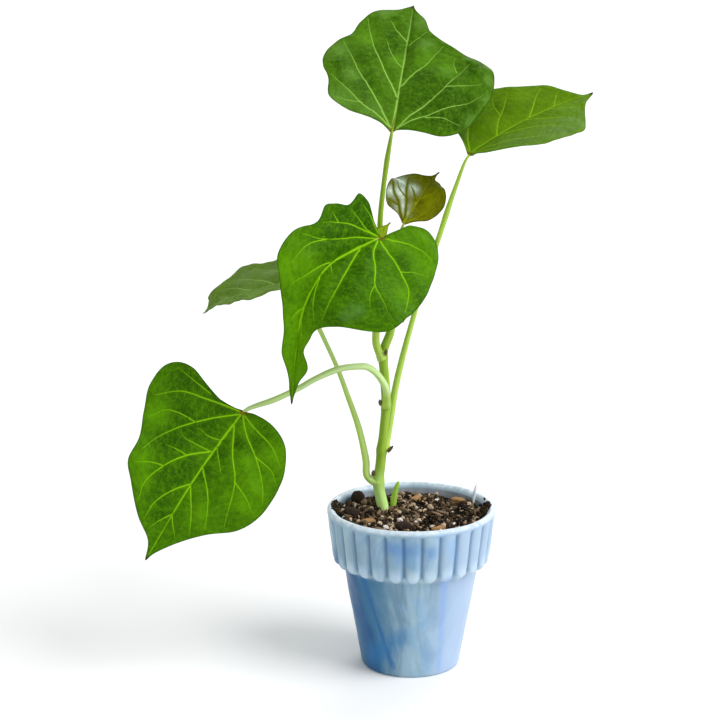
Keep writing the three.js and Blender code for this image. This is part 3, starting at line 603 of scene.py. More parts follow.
def build_glass_streak(nodes, given):
    """A drawn-out streak of colour in the glass, between two places on the pot."""
    run = nodes.vector("SUBTRACT", given["End"], given["Start"])
    away = nodes.vector("SUBTRACT", given["Place"], given["Start"])
    dots = (nodes.compare("DOT_PRODUCT", first, run) for first in (away, run))
    on_line = nodes.stretched(run, nodes.math("DIVIDE", *dots, clamp=True))
    wobble = nodes.math("SUBTRACT", nodes.noise(given["Grain Place"], WOBBLE_DENSITY, 4.0, 0.6), 0.5)
    gap = nodes.total(nodes.compare("DISTANCE", away, on_line), (wobble, given["Wobble"]))
    return {"Mask": nodes.step(gap, 0.0, given["Half Width"], 1.0, 0.0)}


VEIN_LINES = shader_group("vein_lines", {"Core": 0.6, "Edge": 1.3, "Glow Reach": 4.0}, ["Line", "Glow"],
                          build_vein_lines)
CELL_NETWORK = shader_group("cell_network", {"Place": ORIGIN, "Density": 0.3, "Line Width": 0.08, "Bend": 1.0},
                            ["Line", "Swell"], build_cell_network)
MOTTLE = shader_group("mottle", {"Place": ORIGIN, "Density": 0.1, "Contrast": 1.0}, ["Patches", "Grain"],
                      build_mottle)
LONG_STREAKS = shader_group("long_streaks", {"Round Place": ORIGIN, "Density": 3.0, "Stretch": 0.05},
                            ["Streaks"], build_long_streaks)
NEAR_POINT = shader_group("near_point", {"Distance": 0.0, "Inner": 0.0, "Outer": 1.0}, ["Mask"],
                          build_near_point)
GLASS_STREAK = shader_group(
    "glass_streak",
    {"Place": ORIGIN, "Grain Place": ORIGIN, "Start": ORIGIN, "End": (1.0, 0.0, 0.0), "Half Width": 2.0,
     "Wobble": 2.0},
    ["Mask"], build_glass_streak)


def near(nodes, distance, inner, outer):
    return nodes.use(NEAR_POINT, distance=distance, inner=inner, outer=outer)["Mask"]


def new_material(name, **shader_values):
    """A material with one Principled shader, its nodes and the shader."""
    material = bpy.data.materials.new(name)
    material.use_nodes = True
    shader = material.node_tree.nodes["Principled BSDF"]
    for key, value in shader_values.items():
        shader.inputs[key.replace("_", " ")].default_value = value
    return material, Nodes(material.node_tree), shader


def finish(nodes, shader, colour, height, strength, depth, roughness=None):
    """Sends a colour, a relief of up to `depth` millimetres and a roughness to the shader."""
    nodes.feed(shader.inputs["Base Color"], colour)
    if roughness is not None:
        nodes.feed(shader.inputs["Roughness"], roughness)
    relief = nodes.add("ShaderNodeBump", {"Height": height, "Strength": strength, "Distance": depth * MM})
    nodes.feed(shader.inputs["Normal"], relief.outputs["Normal"])


# ---------------------------------------------------------------- leaf materials


UNDERSIDE = (0.12, 0.25, 0.06)
# The colour of the painted sheen on a leaf.
PAINTED_SHEEN = (0.2, 0.34, 0.14)
RED_JOINT = (0.16, 0.06, 0.008)
DRY_TIP = (0.02, 0.015, 0.004)
LADDER_STRETCH = 0.42  # the cells of the ladder are longer round the joint than away from it
WAXY_COAT_IOR = 2.1


def blade_material(name, deep, mid, fresh, vein, under=UNDERSIDE, roughness=0.5, painted_sheen_colour=PAINTED_SHEEN, margin=None,
                   joint=RED_JOINT, waxy=False, painted_shade_left_veins=None, fleck=0.28, reach=1.0):
    """Leaf tissue: patches of green, pale veins with a soft glow, a fine network and a paler back.
    Spots of painted shade, painted light and painted sheen lie over the face, and where given the veins
    of the left half are painted darker as painted shade.
    `fleck` is how much small flecks show, and `reach` scales the marks at the joint and the tip."""
    material, nodes, shader = new_material(
        name, Subsurface_Weight=0.12, Subsurface_Radius=(0.5, 1.0, 0.1), Subsurface_Scale=0.6 * MM,
        Specular_IOR_Level=0.035, Coat_Roughness=0.3)
    place = nodes.measure("leaf_place")
    along, across, edge_gap = nodes.split(place)
    joint_gap, tip_gap, upper = nodes.split(nodes.measure("leaf_ends"))
    # The leaf's spots of painted shade, painted light and painted sheen.
    shade, light, pale = nodes.split(nodes.measure("leaf_painted_tones"))
    strength = nodes.measure("vein_strength", "Fac")
    patches = nodes.use(MOTTLE, place=place, density=0.08, contrast=2.6)
    flecks = nodes.use(MOTTLE, place=place, density=0.55, contrast=3.4)
    veins = nodes.use(VEIN_LINES, core=0.5, edge=1.35, glow_reach=5.0)
    fine = nodes.use(CELL_NETWORK, place=place, density=1.0, line_width=0.16, bend=0.5)
    # the smaller veins cross between the main ones like the rungs of a ladder, round the joint
    round_joint = nodes.math("MULTIPLY", nodes.math("ARCTAN2", across, along),
                             nodes.scaled(joint_gap, LADDER_STRETCH))
    ladder = nodes.use(CELL_NETWORK, place=nodes.join(joint_gap, round_joint, 0.0), density=0.42,
                       line_width=0.07, bend=1.3)
    rungs = nodes.math("MULTIPLY", ladder["Line"], nodes.step(flecks["Grain"], 0.3, 0.6))
    glow = nodes.math("MULTIPLY", veins["Glow"], strength)
    line = nodes.math("MULTIPLY", veins["Line"], nodes.step(strength, 0.0, 0.7, 0.3, 1.0))
    # Painted sheen: the pale spots away from the veins, broken by grain. On the waxy leaf the same spots also
    # carry a real glossy coat.
    clear_of_veins = nodes.math("SUBTRACT", 1.0, veins["Glow" if waxy else "Line"])
    painted_sheen_spots = nodes.math("MULTIPLY", pale, clear_of_veins)
    painted_sheen_spots = nodes.math("MULTIPLY", painted_sheen_spots, nodes.step(flecks["Grain"], 0.3, 0.6, 0.45, 1.0))
    # Painted shade: the veins of the left half are darker, beside the painted reflection there.
    if painted_shade_left_veins:
        vein = nodes.blend(nodes.step(across, -0.9, -0.4), painted_shade_left_veins, vein)
    # The tissue is painted with shade where `shade` shows, painted lighter where `light` shows, and painted
    # with sheen where the sheen spots show.
    tissue = nodes.layers(
        mid, (patches["Patches"], 0.5, deep), (shade, 0.93, deep), (light, 0.66, fresh),
        (nodes.step(flecks["Patches"], 0.45, 0.9), fleck, fresh),
        (nodes.step(flecks["Patches"], 0.4, 0.0), fleck, deep),
        (fine["Line"], 0.16, fresh), (rungs, 0.36, fresh), (glow, 0.4, fresh),
        (painted_sheen_spots, 0.95 if waxy else 0.45, painted_sheen_colour))
    face = nodes.layers(
        nodes.blend(line, tissue, vein),
        (near(nodes, edge_gap, 0.05, 0.55), 0.7, margin or deep),
        (near(nodes, tip_gap, 0.6 * reach, 2.4 * reach), 0.85, DRY_TIP),
        (near(nodes, joint_gap, 0.4 * reach, 2.6 * reach), 0.65, joint))
    back = nodes.layers(under, (glow, 0.6, vein), (patches["Patches"], 0.35, mid))
    if waxy:
        shader.inputs["Coat IOR"].default_value = WAXY_COAT_IOR
        nodes.feed(shader.inputs["Coat Weight"], nodes.math("MULTIPLY", painted_sheen_spots, upper))
    finish(nodes, shader, nodes.blend(upper, back, face),
           nodes.total(0.0, (ladder["Swell"], 0.9), (fine["Swell"], 0.4), (veins["Glow"], -0.3),
                       (flecks["Grain"], 0.3)),
           strength=0.75, depth=0.2,
           roughness=nodes.total(roughness - 0.08, (patches["Grain"], 0.2), (veins["Line"], 0.1)))
    return material


BROWN_JOINT = (0.2, 0.09, 0.01)


def stalk_material(name, base, tip, pale, deep, joint_amount=0.0, subsurface=0.15, base_reach=5.0,
                   base_amount=0.3, base_tint=None):
    """A green stalk: fibres along it, a change of green from base to tip, a side of painted light and a
    side of painted shade, and a reddish joint."""
    material, nodes, shader = new_material(
        name, Subsurface_Weight=subsurface, Subsurface_Radius=(0.7, 1.0, 0.25), Subsurface_Scale=0.8 * MM,
        Specular_IOR_Level=0.2, Coat_Weight=0.04, Coat_Roughness=0.3)
    round_place = nodes.measure("stalk_place")
    from_base, to_tip, share = nodes.split(nodes.measure("stalk_run"))
    facing_light = nodes.measure("stalk_facing_light", "Fac")
    fibres = nodes.use(LONG_STREAKS, round_place=round_place, density=2.6, stretch=0.05)["Streaks"]
    hairs = nodes.use(LONG_STREAKS, round_place=round_place, density=9.0, stretch=0.04)["Streaks"]
    patches = nodes.use(MOTTLE, place=round_place, density=0.25, contrast=1.6)
    spots = nodes.math("GREATER_THAN", nodes.noise(round_place, 3.5, 1.0), 0.74)
    # Painted light on the side that faces the key light, and painted shade on the side away from it.
    colour = nodes.layers(
        nodes.blend(share, base, tip), (fibres, 0.25, pale), (patches["Patches"], 0.25, deep),
        (nodes.step(facing_light, 0.2, 0.95), 0.55, pale), (nodes.step(facing_light, -0.15, -0.95), 0.75, deep),
        (spots, 0.25, BROWN_JOINT), (near(nodes, to_tip, 0.5, 6.0), joint_amount, BROWN_JOINT),
        (near(nodes, from_base, base_reach * 0.4, base_reach), base_amount, base_tint or pale))
    finish(nodes, shader, colour, nodes.total(0.0, (fibres, 0.7), (hairs, 0.3)), strength=0.45, depth=0.15,
           roughness=nodes.total(0.34, (patches["Grain"], 0.2)))
    return material


# The tones of a full-grown leaf, and the colour of painted shade on the far side of a stalk.
DEEP = (0.015, 0.062, 0.0003)
GREEN = (0.05, 0.155, 0.0006)
FRESH = (0.1, 0.275, 0.001)
VEIN = (0.2, 0.45, 0.004)
OLIVE = (0.085, 0.17, 0.001)

BLADE_LOOKS = {
    "leaf_top": blade_material("leaf_upper_tier", (0.018, 0.06, 0.0005), (0.055, 0.145, 0.002),
                               (0.1, 0.26, 0.008), (0.24, 0.43, 0.07), painted_sheen_colour=(0.15, 0.31, 0.05)),
    "leaf_right": blade_material("leaf_bright", (0.055, 0.125, 0.0005), (0.083, 0.185, 0.001),
                                 (0.11, 0.24, 0.003), (0.19, 0.36, 0.008), painted_sheen_colour=(0.1, 0.2, 0.04),
                                 fleck=0.35),
    "leaf_front": blade_material("leaf_deep", DEEP, GREEN, FRESH, VEIN, painted_sheen_colour=(0.11, 0.24, 0.06)),
    "leaf_low_left": blade_material("leaf_full", DEEP, GREEN, FRESH, VEIN),
    # The back leaf's pale grey-green is a painted grazing sheen over its whole face.
    "leaf_back": blade_material("leaf_painted_grazing_sheen", (0.065, 0.13, 0.008), (0.11, 0.2, 0.02), (0.15, 0.27, 0.045),
                                (0.24, 0.39, 0.08), painted_sheen_colour=(0.19, 0.3, 0.11), fleck=0.3),
    # The young leaf: its near-white sheen colour is a painted reflection on the left half, and its darker
    # left-half veins are painted shade.
    "leaf_young": blade_material("leaf_bronze", (0.085, 0.095, 0.0005), (0.15, 0.16, 0.001),
                                 (0.23, 0.25, 0.002), (0.3, 0.34, 0.006), (0.16, 0.19, 0.03), roughness=0.35,
                                 painted_sheen_colour=(0.72, 0.88, 0.78), margin=(0.07, 0.02, 0.015),
                                 joint=(0.24, 0.22, 0.005), waxy=True, painted_shade_left_veins=(0.09, 0.11, 0.001),
                                 fleck=0.4, reach=0.6),
}
BUD_LEAF_LOOK = blade_material("leaf_unfolding", (0.2, 0.31, 0.002), (0.36, 0.54, 0.01), (0.5, 0.7, 0.04),
                               (0.45, 0.6, 0.08), (0.3, 0.42, 0.04), margin=(0.2, 0.1, 0.01),
                               joint=(0.35, 0.45, 0.05), fleck=0.3, reach=0.3)

STALK_LOOKS = {
    "stem": stalk_material("stem_skin", (0.17, 0.3, 0.003), (0.16, 0.3, 0.004), (0.4, 0.6, 0.07), OLIVE,
                           base_reach=38.0, base_amount=0.95, base_tint=(0.64, 0.96, 0.32)),
    "leaf_top": stalk_material("petiole_upper", (0.2, 0.35, 0.003), (0.12, 0.22, 0.002), (0.33, 0.52, 0.03),
                               OLIVE, joint_amount=0.85),
    "leaf_right": stalk_material("petiole_tall", (0.36, 0.56, 0.08), (0.27, 0.44, 0.012), (0.48, 0.68, 0.12),
                                 (0.14, 0.28, 0.005)),
    "leaf_front": stalk_material("petiole_front", (0.3, 0.46, 0.03), (0.32, 0.48, 0.04), (0.46, 0.64, 0.14),
                                 OLIVE, joint_amount=0.5),
    "leaf_low_left": stalk_material("petiole_arched", (0.44, 0.64, 0.16), (0.3, 0.46, 0.1), (0.66, 0.84, 0.45),
                                    OLIVE, joint_amount=0.6, base_reach=9.0, base_amount=0.85,
                                    base_tint=(0.28, 0.44, 0.03)),
    "leaf_back": stalk_material("petiole_pale", (0.36, 0.54, 0.07), (0.44, 0.62, 0.16), (0.54, 0.72, 0.26),
                                (0.2, 0.34, 0.02)),
    "leaf_young": stalk_material("petiole_young", (0.34, 0.52, 0.06), (0.25, 0.32, 0.02), (0.46, 0.64, 0.14),
                                 OLIVE, joint_amount=0.4),
    "sprout": stalk_material("sprout_skin", (0.36, 0.58, 0.05), (0.24, 0.46, 0.02), (0.5, 0.72, 0.14), OLIVE),
    "tip": stalk_material("shoot_tip_skin", (0.3, 0.45, 0.06), (0.22, 0.28, 0.04), (0.42, 0.52, 0.12), OLIVE),
    "bud": stalk_material("bud_scale", (0.07, 0.045, 0.012), (0.035, 0.016, 0.006), (0.16, 0.13, 0.04),
                          (0.03, 0.018, 0.006), subsurface=0.05),
    "wisp": stalk_material("dry_wisp", (0.55, 0.55, 0.58), (0.7, 0.7, 0.78), (0.8, 0.8, 0.86),
                           (0.5, 0.5, 0.56), subsurface=0.5),
}

# ---------------------------------------------------------------- blades


class LeafSurface:
    """A leaf's curved middle surface: flat places along and across it, and lifts above it."""

    def __init__(self, leaf):
        self.leaf = leaf
        self.midrib = Route(leaf["midrib"])
        self.length = self.midrib.length

    def at(self, along, across, lift):
        leaf = self.leaf
        on_midrib = np.clip(along, 0, self.length)
        share = on_midrib / self.length
        tangent = self.midrib.tangent(share)
        base, tip = (np.array(side, float) for side in leaf["side"])
        side = base + (tip - base) * share[..., None]
        side = unit(side - tangent * (side * tangent).sum(-1, keepdims=True))
        up = np.cross(side, tangent)
        fold, curl = (np.where(across < 0, left, right) for left, right in (
            [np.radians(spread(leaf["fold"][half], share)) for half in ("left", "right")],
            [math.radians(leaf["curl"][half]) for half in ("left", "right")]))
        width = np.abs(across)
        rise = fold + curl * width / 2
        slope = fold + curl * width
        sideways = np.sign(across) * (width * np.cos(rise) - lift * np.sin(slope))
        upwards = width * np.sin(rise) + lift * np.cos(slope)
        return (self.midrib.at(share) + tangent * (along - on_midrib)[..., None]
                + side * sideways[..., None] + up * upwards[..., None])


# Millimetres, apart from the midrib's power: how closely the rows lie towards the joint.
BLADE = {
    "thickness": 0.45,
    "joint_width": 0.7,
    "tip_width": 0.2,
    "midrib_power": 1.6,
    "midrib_half_width": 0.42,
    "midrib_ridge": 0.65,
    "groove": 0.35,
    "groove_reach": 0.75,
    "pillow": 0.85,
    "pillow_reach": 3.2,
    "undulation": 0.45,
    "undulation_length": 15,
    "pucker": 0.1,
    "pucker_length": 3.2,
    "full_length": 55,  # a shorter leaf has all of its relief in proportion
}
FAR = 99.0  # further than any vein
MAIN_VEIN = 0.28  # half width
VEIN_SPACING = 0.5
VEIN_TIP_SHARE = 0.4  # a vein's width at its end over that at its start
VEIN_FADE = 0.4
THINNEST_VEIN = 0.03  # share of its width
VEIN_RUN_ON = np.array([0.5, 1.1, 1.9, 3, 5, 8, 13, 20])  # how far each vein is drawn on, unseen


def joint_gap(places):
    return np.hypot(places[:, 0], places[:, 1])


def vein_fields(places, veins):
    """For each place: every vein's signed distance over its half width, the distance to the nearest
    vein, how far the place is in a groove, and how strong the vein beside it is."""
    count = len(places)
    ratios, groove, strength = [], np.zeros(count), np.ones(count)
    nearest, least = np.full(count, FAR), np.full(count, FAR)
    picked = np.arange(count)
    weakest = VEIN_TIP_SHARE * 0.6
    for half_width, route in veins:
        route = Route(route, steps=16)
        share = np.linspace(0, 1, max(int(route.length / VEIN_SPACING), 4))
        line, ahead = route.at(share), route.tangent(share, 0.02)
        before = line[:1] - ahead[:1] * VEIN_RUN_ON[::-1, None]
        after = line[-1:] + ahead[-1:] * VEIN_RUN_ON[:, None]
        fade = np.maximum(np.exp(-VEIN_RUN_ON / VEIN_FADE), THINNEST_VEIN)
        widths = 1 + (VEIN_TIP_SHARE - 1) * share
        widths = np.concatenate([fade[::-1], widths, VEIN_TIP_SHARE * fade]) * half_width
        line = np.vstack([before, line, after])
        ahead = np.vstack([ahead[:1].repeat(len(before), 0), ahead, ahead[-1:].repeat(len(after), 0)])
        away = places[:, None, :] - line[None, :, :]
        gaps = np.hypot(away[..., 0], away[..., 1])
        closest = gaps.argmin(1)
        offset, course, gap = away[picked, closest], ahead[closest], gaps[picked, closest]
        ratios.append((course[:, 0] * offset[:, 1] - course[:, 1] * offset[:, 0]) / widths[closest])
        width = np.clip(widths[closest] / half_width, 0, 1)
        strength = np.where(gap < least, (width - weakest) / (1 - weakest), strength)
        least = np.minimum(least, gap)
        on_vein = (closest >= len(before)) & (closest < len(line) - len(after))
        nearest = np.minimum(nearest, np.where(on_vein, gap, FAR))
        weight = width * min(half_width / MAIN_VEIN, 1.2)
        groove = np.maximum(groove, weight * np.exp(-((gap / BLADE["groove_reach"]) ** 2)))
    return ratios, nearest, groove, strength.clip(0, 1)


def soft_spots(places, spots):
    """How far each place is inside any of the soft round spots, from 0 to 1."""
    clear = np.ones(len(places))
    for along, across, reach in spots:
        gap = np.hypot(places[:, 0] - along, places[:, 1] - across)
        clear *= 1 - np.exp(-((gap / reach) ** 2))
    return 1 - clear


def edge_waves(leaf, places, outwards):
    """Waves that grow from nothing halfway out to their full height at the edge."""
    height, wavelength, start = leaf["wave"]
    turn = places[:, 0] / wavelength * TURN
    waves = np.sin(turn + start + 2 * np.sign(places[:, 1])) + 0.5 * np.sin(turn * 2.3 + 3 * start)
    return height * waves * smooth_step(0.45, 1, outwards)


def blade_relief(leaf, places, size, nearest, edge_gap, groove):
    """Swellings between the veins, grooves along them and soft unevenness, all calmer at the edge."""
    pillow = BLADE["pillow"] * size * (1 - np.exp(-((nearest / (BLADE["pillow_reach"] * size)) ** 2)))
    pillow *= 0.15 + 0.85 * smooth_step(0, 5 * size, edge_gap)
    rolling = BLADE["undulation"] * size * ripple(places, BLADE["undulation_length"] * size, leaf["seed"])
    rolling *= 0.25 + 0.75 * smooth_step(0, 7 * size, edge_gap)
    pucker = BLADE["pucker"] * size * ripple(places, BLADE["pucker_length"] * size, leaf["seed"] + 1)
    pucker *= smooth_step(0, 3 * size, edge_gap)
    soft = (rolling + pucker) * smooth_step(0, 4, joint_gap(places))
    return leaf["relief"] * (pillow + soft - BLADE["groove"] * size * groove)


def blade(name, replaced, leaf, material, rows, half_columns, slot, joint_width=BLADE["joint_width"]):
    """A closed blade: an upper and a lower surface, sunk along the veins and swollen between them."""
    surface = LeafSurface(leaf)
    length = surface.length
    t = np.linspace(0, 1, rows)
    a = np.linspace(-1, 1, 2 * half_columns + 1)
    edges = {half: Route([(0, joint_width), *leaf[half], (length, BLADE["tip_width"])]).at(t)
             for half in ("left", "right")}
    edge = np.where(a[None, :, None] < 0, edges["left"][:, None], edges["right"][:, None])
    midrib = (length * t ** BLADE["midrib_power"])[:, None]
    along = midrib + (edge[..., 0] - midrib) * np.abs(a)
    across = a * edge[..., 1]
    places = np.stack([along.ravel(), across.ravel()], -1)

    spine = BLADE["midrib_half_width"] * min(length / 50, 1)
    veins = [(spine, [(-1, 0), (length * 0.5, 0), (length - 0.5, 0)]), *leaf["veins"]]
    ratios, nearest, groove, strength = vein_fields(places, veins)
    rim = np.vstack([edges["left"] * (1, -1), edges["right"]])
    edge_gap = np.min(np.hypot(places[:, None, 0] - rim[None, :, 0], places[:, None, 1] - rim[None, :, 1]), 1)
    size = min(length / BLADE["full_length"], 1)
    outwards = np.abs(a)[None, :].repeat(rows, 0).ravel()
    lift = edge_waves(leaf, places, outwards) + blade_relief(leaf, places, size, nearest, edge_gap, groove)
    thinning = 1 - 0.65 * smooth_step(1.2, 0, edge_gap)
    half = BLADE["thickness"] / 2 * thinning * (0.6 + 0.4 * size)
    share = np.clip(along.ravel() / length, 0, 1)
    ridge = BLADE["midrib_ridge"] * size * (1 - 0.75 * share)
    ridge *= np.exp(-((places[:, 1] / (BLADE["groove_reach"] * size)) ** 2))
    ridge = np.minimum(ridge + 0.3 * size * groove, 0.8) * smooth_step(0, 1.5, edge_gap)
    top = surface.at(along, across, (lift + half).reshape(along.shape)).reshape(-1, 3)
    bottom = surface.at(along, across, (lift - half - ridge).reshape(along.shape)).reshape(-1, 3)

    count = rows * len(a)
    upper = grid_faces(rows, len(a))
    order = np.arange(count).reshape(rows, len(a))
    loop = np.concatenate([order[0, :-1], order[:-1, -1], order[-1, :0:-1], order[:0:-1, 0]])
    after = np.roll(loop, -1)
    walls = np.stack([after, loop, loop + count, after + count], -1)
    faces = np.vstack([upper, upper[:, ::-1] + count, walls])

    def both(*values):
        values = np.column_stack(values) if len(values) > 1 else values[0]
        return np.concatenate([values, values])

    ratios += [np.full(count, FAR)] * (VEIN_SETS * 3 - len(ratios))
    measures = {f"veins_{i}": both(*ratios[3 * i:3 * i + 3]) for i in range(VEIN_SETS)}
    tip_gap = np.hypot(places[:, 0] - length, places[:, 1])
    measures["leaf_place"] = both(places, edge_gap)
    # Spots of painted shade, painted light and painted sheen.
    measures["leaf_painted_tones"] = both(*(soft_spots(places, leaf[tone]) for tone in ("dark", "light", "pale")))
    measures["vein_strength"] = both(strength)
    measures["leaf_ends"] = np.column_stack([both(joint_gap(places), tip_gap), np.arange(2 * count) < count])
    return make_piece(name, np.vstack([top, bottom]), faces, material, measures, replaces=[replaced])


# ---------------------------------------------------------------- stalks


# Painted light and painted shade: the side of a stalk that faces the key light is painted paler, and the far
# side darker.
PAINTED_LIT_SIDE = unit(np.array([0.75, -0.55, 0.25]))  # a stalk is paler on the side that faces the light


def stalk(name, points, radii, material, replaces, seed, sides=28, ring_step=0.7, flare=0.0,
          swellings=(), groove=0.0, roughness=0.03):
    """A tapered stalk along a route, with soft ridges, a flared base and swellings at its nodes."""
    route = Route(points)
    rings = max(int(route.length / ring_step), 8)
    share = np.linspace(0, 1, rings)
    centre, ahead = route.at(share), route.tangent(share, 0.01)
    across = np.zeros_like(ahead)
    across[0] = unit(np.cross(ahead[0], (0.3, 1.0, 0.2)))
    for i in range(1, rings):
        across[i] = unit(across[i - 1] - ahead[i] * np.dot(across[i - 1], ahead[i]))
    third = np.cross(ahead, across)
    angle = np.arange(sides) / sides * TURN
    radius = spread(radii, share)
    along = share * route.length
    radius = radius * (1 + flare * np.exp(-((along / 2.2) ** 2)))
    for height in swellings:
        radius = radius * (1 + 0.16 * np.exp(-(((centre[:, 2] - height) / 1.8) ** 2)))
    direction = np.stack([np.cos(angle), np.sin(angle)], -1)
    round_place = np.concatenate([np.broadcast_to(direction, (rings, sides, 2)),
                                  np.broadcast_to(along[:, None, None], (rings, sides, 1))], -1)
    bumps = roughness * ripple((round_place * (1.6, 1.6, 0.16)).reshape(-1, 3), 2.0, seed)
    channel = groove * np.exp(-(((angle - math.pi) / 0.5) ** 2))
    shape = radius[:, None] * (1 + bumps.reshape(rings, sides) - channel[None, :])
    points = (centre[:, None] + across[:, None] * (shape * direction[None, :, 0])[..., None]
              + third[:, None] * (shape * direction[None, :, 1])[..., None]).reshape(-1, 3)
    faces, caps = tube_faces(rings, sides)
    run = np.stack([along, route.length - along, share], -1)[:, None].repeat(sides, 1).reshape(-1, 3)
    outward = across[:, None] * direction[None, :, :1] + third[:, None] * direction[None, :, 1:]
    measures = {"stalk_place": round_place.reshape(-1, 3), "stalk_run": run,
                "stalk_facing_light": (outward @ PAINTED_LIT_SIDE).ravel()}
    return make_piece(name, points, faces, material, measures, caps, replaces)


def petiole(name, leaf):
    """The stalk of a leaf, which runs on into the midrib under the blade."""
    surface = LeafSurface(leaf)
    large = surface.length > 30
    under = [(2.0, -0.55), (6.0, -0.45)] if large else [(1.2, -0.35), (3.0, -0.3)]  # along and lift
    on_blade = [tuple(surface.at(np.array([along]), np.array([0.0]), np.array([lift]))[0])
                for along, lift in under]
    first, end = leaf["radii"][0], leaf["radii"][-1]
    radii = [first, *leaf["radii"], end * 1.12, end * 0.75, end * 0.25]
    stalk(f"{name}_stalk", [*leaf["petiole"], *on_blade], radii, STALK_LOOKS[name],
          [f"{name}_petiole"], flare=0.35, seed=leaf["seed"], groove=0.1)


# ---------------------------------------------------------------- the plant above the soil

FULL_BLADE = (132, 58, "leaf")  # rows, columns in each half and slot
YOUNG_BLADE = (90, 36, "young_leaf")
BUD_BLADE = (36, 14, "young_leaf")

for leaf_name, leaf in LEAVES.items():
    blade(f"{leaf_name}_lamina", f"{leaf_name}_blade", leaf, BLADE_LOOKS[leaf_name],
          *(YOUNG_BLADE if leaf_name == "leaf_young" else FULL_BLADE))
    petiole(leaf_name, leaf)

blade("bud_leaf_folded", "bud_leaf", BUD_LEAF, BUD_LEAF_LOOK, *BUD_BLADE, joint_width=0.5)
stalk("main_stem_shoot", STEM["points"], STEM["radii"], STALK_LOOKS["stem"], ["main_stem"],
      sides=36, swellings=STEM["nodes"], seed=23, roughness=0.045)
stalk("shoot_tip_cone", [(-9, 6.2, 147.2), (-9.2, 6.15, 148.6), (-9.4, 6.15, 150), (-9.7, 6.3, 151.4)],
      [1.0, 1.05, 0.85, 0.5, 0.2], STALK_LOOKS["tip"], ["shoot_tip"], ring_step=0.2, seed=29)
stalk("ground_sprout_sheath", [(-6.4, 9.1, 51.4), (-5.8, 9, 56.2), (-5.2, 8.9, 59.7), (-4.2, 8.7, 63.1)],
      [0.9, 1.1, 1.25, 1.25, 1.15, 0.9, 0.35], STALK_LOOKS["sprout"], ["ground_sprout"],
      ring_step=0.3, seed=31, groove=0.3)
for index, (bud_name, (start, end, radius)) in enumerate(AXIL_BUDS.items()):
    middle = tuple((np.array(start) + np.array(end)) / 2)
    stalk(f"{bud_name}_scale", [start, middle, end], [radius * 0.8, radius * 1.1, radius, radius * 0.25],
          STALK_LOOKS["bud"], [bud_name], sides=20, ring_step=0.12, seed=37 + index, groove=0.3)

# ---------------------------------------------------------------- the glass pot

RIB_COLUMNS = 20
GROOVE_SHARPNESS = 3.0
RIB_END = 37.1  # height of the middle of a rib's round lower end
RIB_END_ROUND = 2.3
RIB_END_DEPTH = 2.1
RIB_FADE = (53.8, 55.7)  # heights between which the ribs run out under the lip
BAND_WIDEST = 29.28
OUTSIDE_HEIGHTS = np.concatenate([np.linspace(0.8, 34.5, 26), np.linspace(34.9, 42.5, 34),
                                  np.linspace(43.2, 52.4, 14), np.linspace(52.8, 55.0, 9)])


def line_through(points, height):
    (r0, z0), (r1, z1) = points
    return r0 + (height - z0) * (r1 - r0) / (z1 - z0)


def pot_rings():
    """Rings from under the foot, up the outside, over the lip and down the inside: radius, height
    and part of the pot."""
    lip, inside = Route(POT["lip"]), Route(POT["inside"])
    return [*((radius, height, "foot") for radius, height in POT["underside"]),
            *((line_through(POT["body"], height), height, "outside") for height in OUTSIDE_HEIGHTS),
            *((radius, height, "lip") for radius, height in lip.at(np.linspace(0, 1, 14))),
            *((radius, height, "inside") for radius, height in inside.at(np.linspace(0, 1, 40)))]


def pot(material):
    columns = POT["ribs"] * RIB_COLUMNS
    angle = np.arange(columns) / columns * TURN
    across_rib = np.abs(((POT["ribs"] * angle / TURN + 0.5) % 1) - 0.5) * 2
    rings = pot_rings()
    points, grooves = [], []
    for radius, height, part in rings:
        groove = np.zeros(columns)
        ring = np.full(columns, float(radius))
        if part == "outside":
            lower_end = RIB_END + RIB_END_ROUND * across_rib**2.2
            rise = np.clip((height - lower_end) / RIB_END_DEPTH, 0, 1)
            rise = np.sqrt(1 - (1 - rise) ** 2)
            out = np.minimum(line_through(POT["band"], height), BAND_WIDEST)
            fade = 1 - smooth_step(*RIB_FADE, height)
            groove = across_rib**GROOVE_SHARPNESS * rise * fade
            crown = POT["rib_crown"] * (1 - across_rib**2) * rise * fade
            ring = radius + (out - radius) * rise - POT["rib_depth"] * groove + crown
        points.append(np.column_stack([ring * np.sin(angle), -ring * np.cos(angle),
                                       np.full(columns, float(height))]))
        grooves.append(groove)
    points = np.vstack(points)
    above_foot = np.hypot(points[:, 0], points[:, 1]) > 17.3
    uneven = 0.07 * ripple(points, 9, 41) * above_foot
    points = points + unit(points * (1, 1, 0)) * uneven[:, None]
    inside = np.repeat([float(part == "inside") for _, _, part in rings], columns)
    faces, caps = tube_faces(len(rings), columns)
    measures = {"pot_finish": np.column_stack([np.concatenate(grooves), inside, 0 * inside])}
    return make_piece("pot_ribbed_glass", points, faces, material, measures, caps, ["pot"])


ARC_RADIUS = 25.0  # turns an angle on the pot into millimetres round it

# The glass as it is drawn out, and the tints that lie over it. The left and right side tints are partly
# the glass's own blue and partly painted shade and painted light, and the groove tint is painted shade.
GLASS = {
    "dull": (0.13, 0.24, 0.33),
    "milky": (0.27, 0.41, 0.5),
    "fine_swirl": (0.15, 0.34, 0.6),
    "haze": (0.42, 0.58, 0.68),
    "left_side_painted_shade": (0.003, 0.12, 0.25),
    "right_side_painted_light": (0.37, 0.49, 0.68),
    "band": (0.38, 0.52, 0.62),
    "rib_end": (0.55, 0.68, 0.78),
    "groove": (0.06, 0.14, 0.26),
    # The colour of the painted shade in the grooves.
    "lip": (0.45, 0.55, 0.62),
    "lip_crest": (0.74, 0.8, 0.86),
    "inner_dull": (0.15, 0.18, 0.18),
    "inner_milky": (0.3, 0.32, 0.38),
}
DEEP_BLUE = (0.004, 0.08, 0.24)
MID_BLUE = (0.07, 0.22, 0.5)
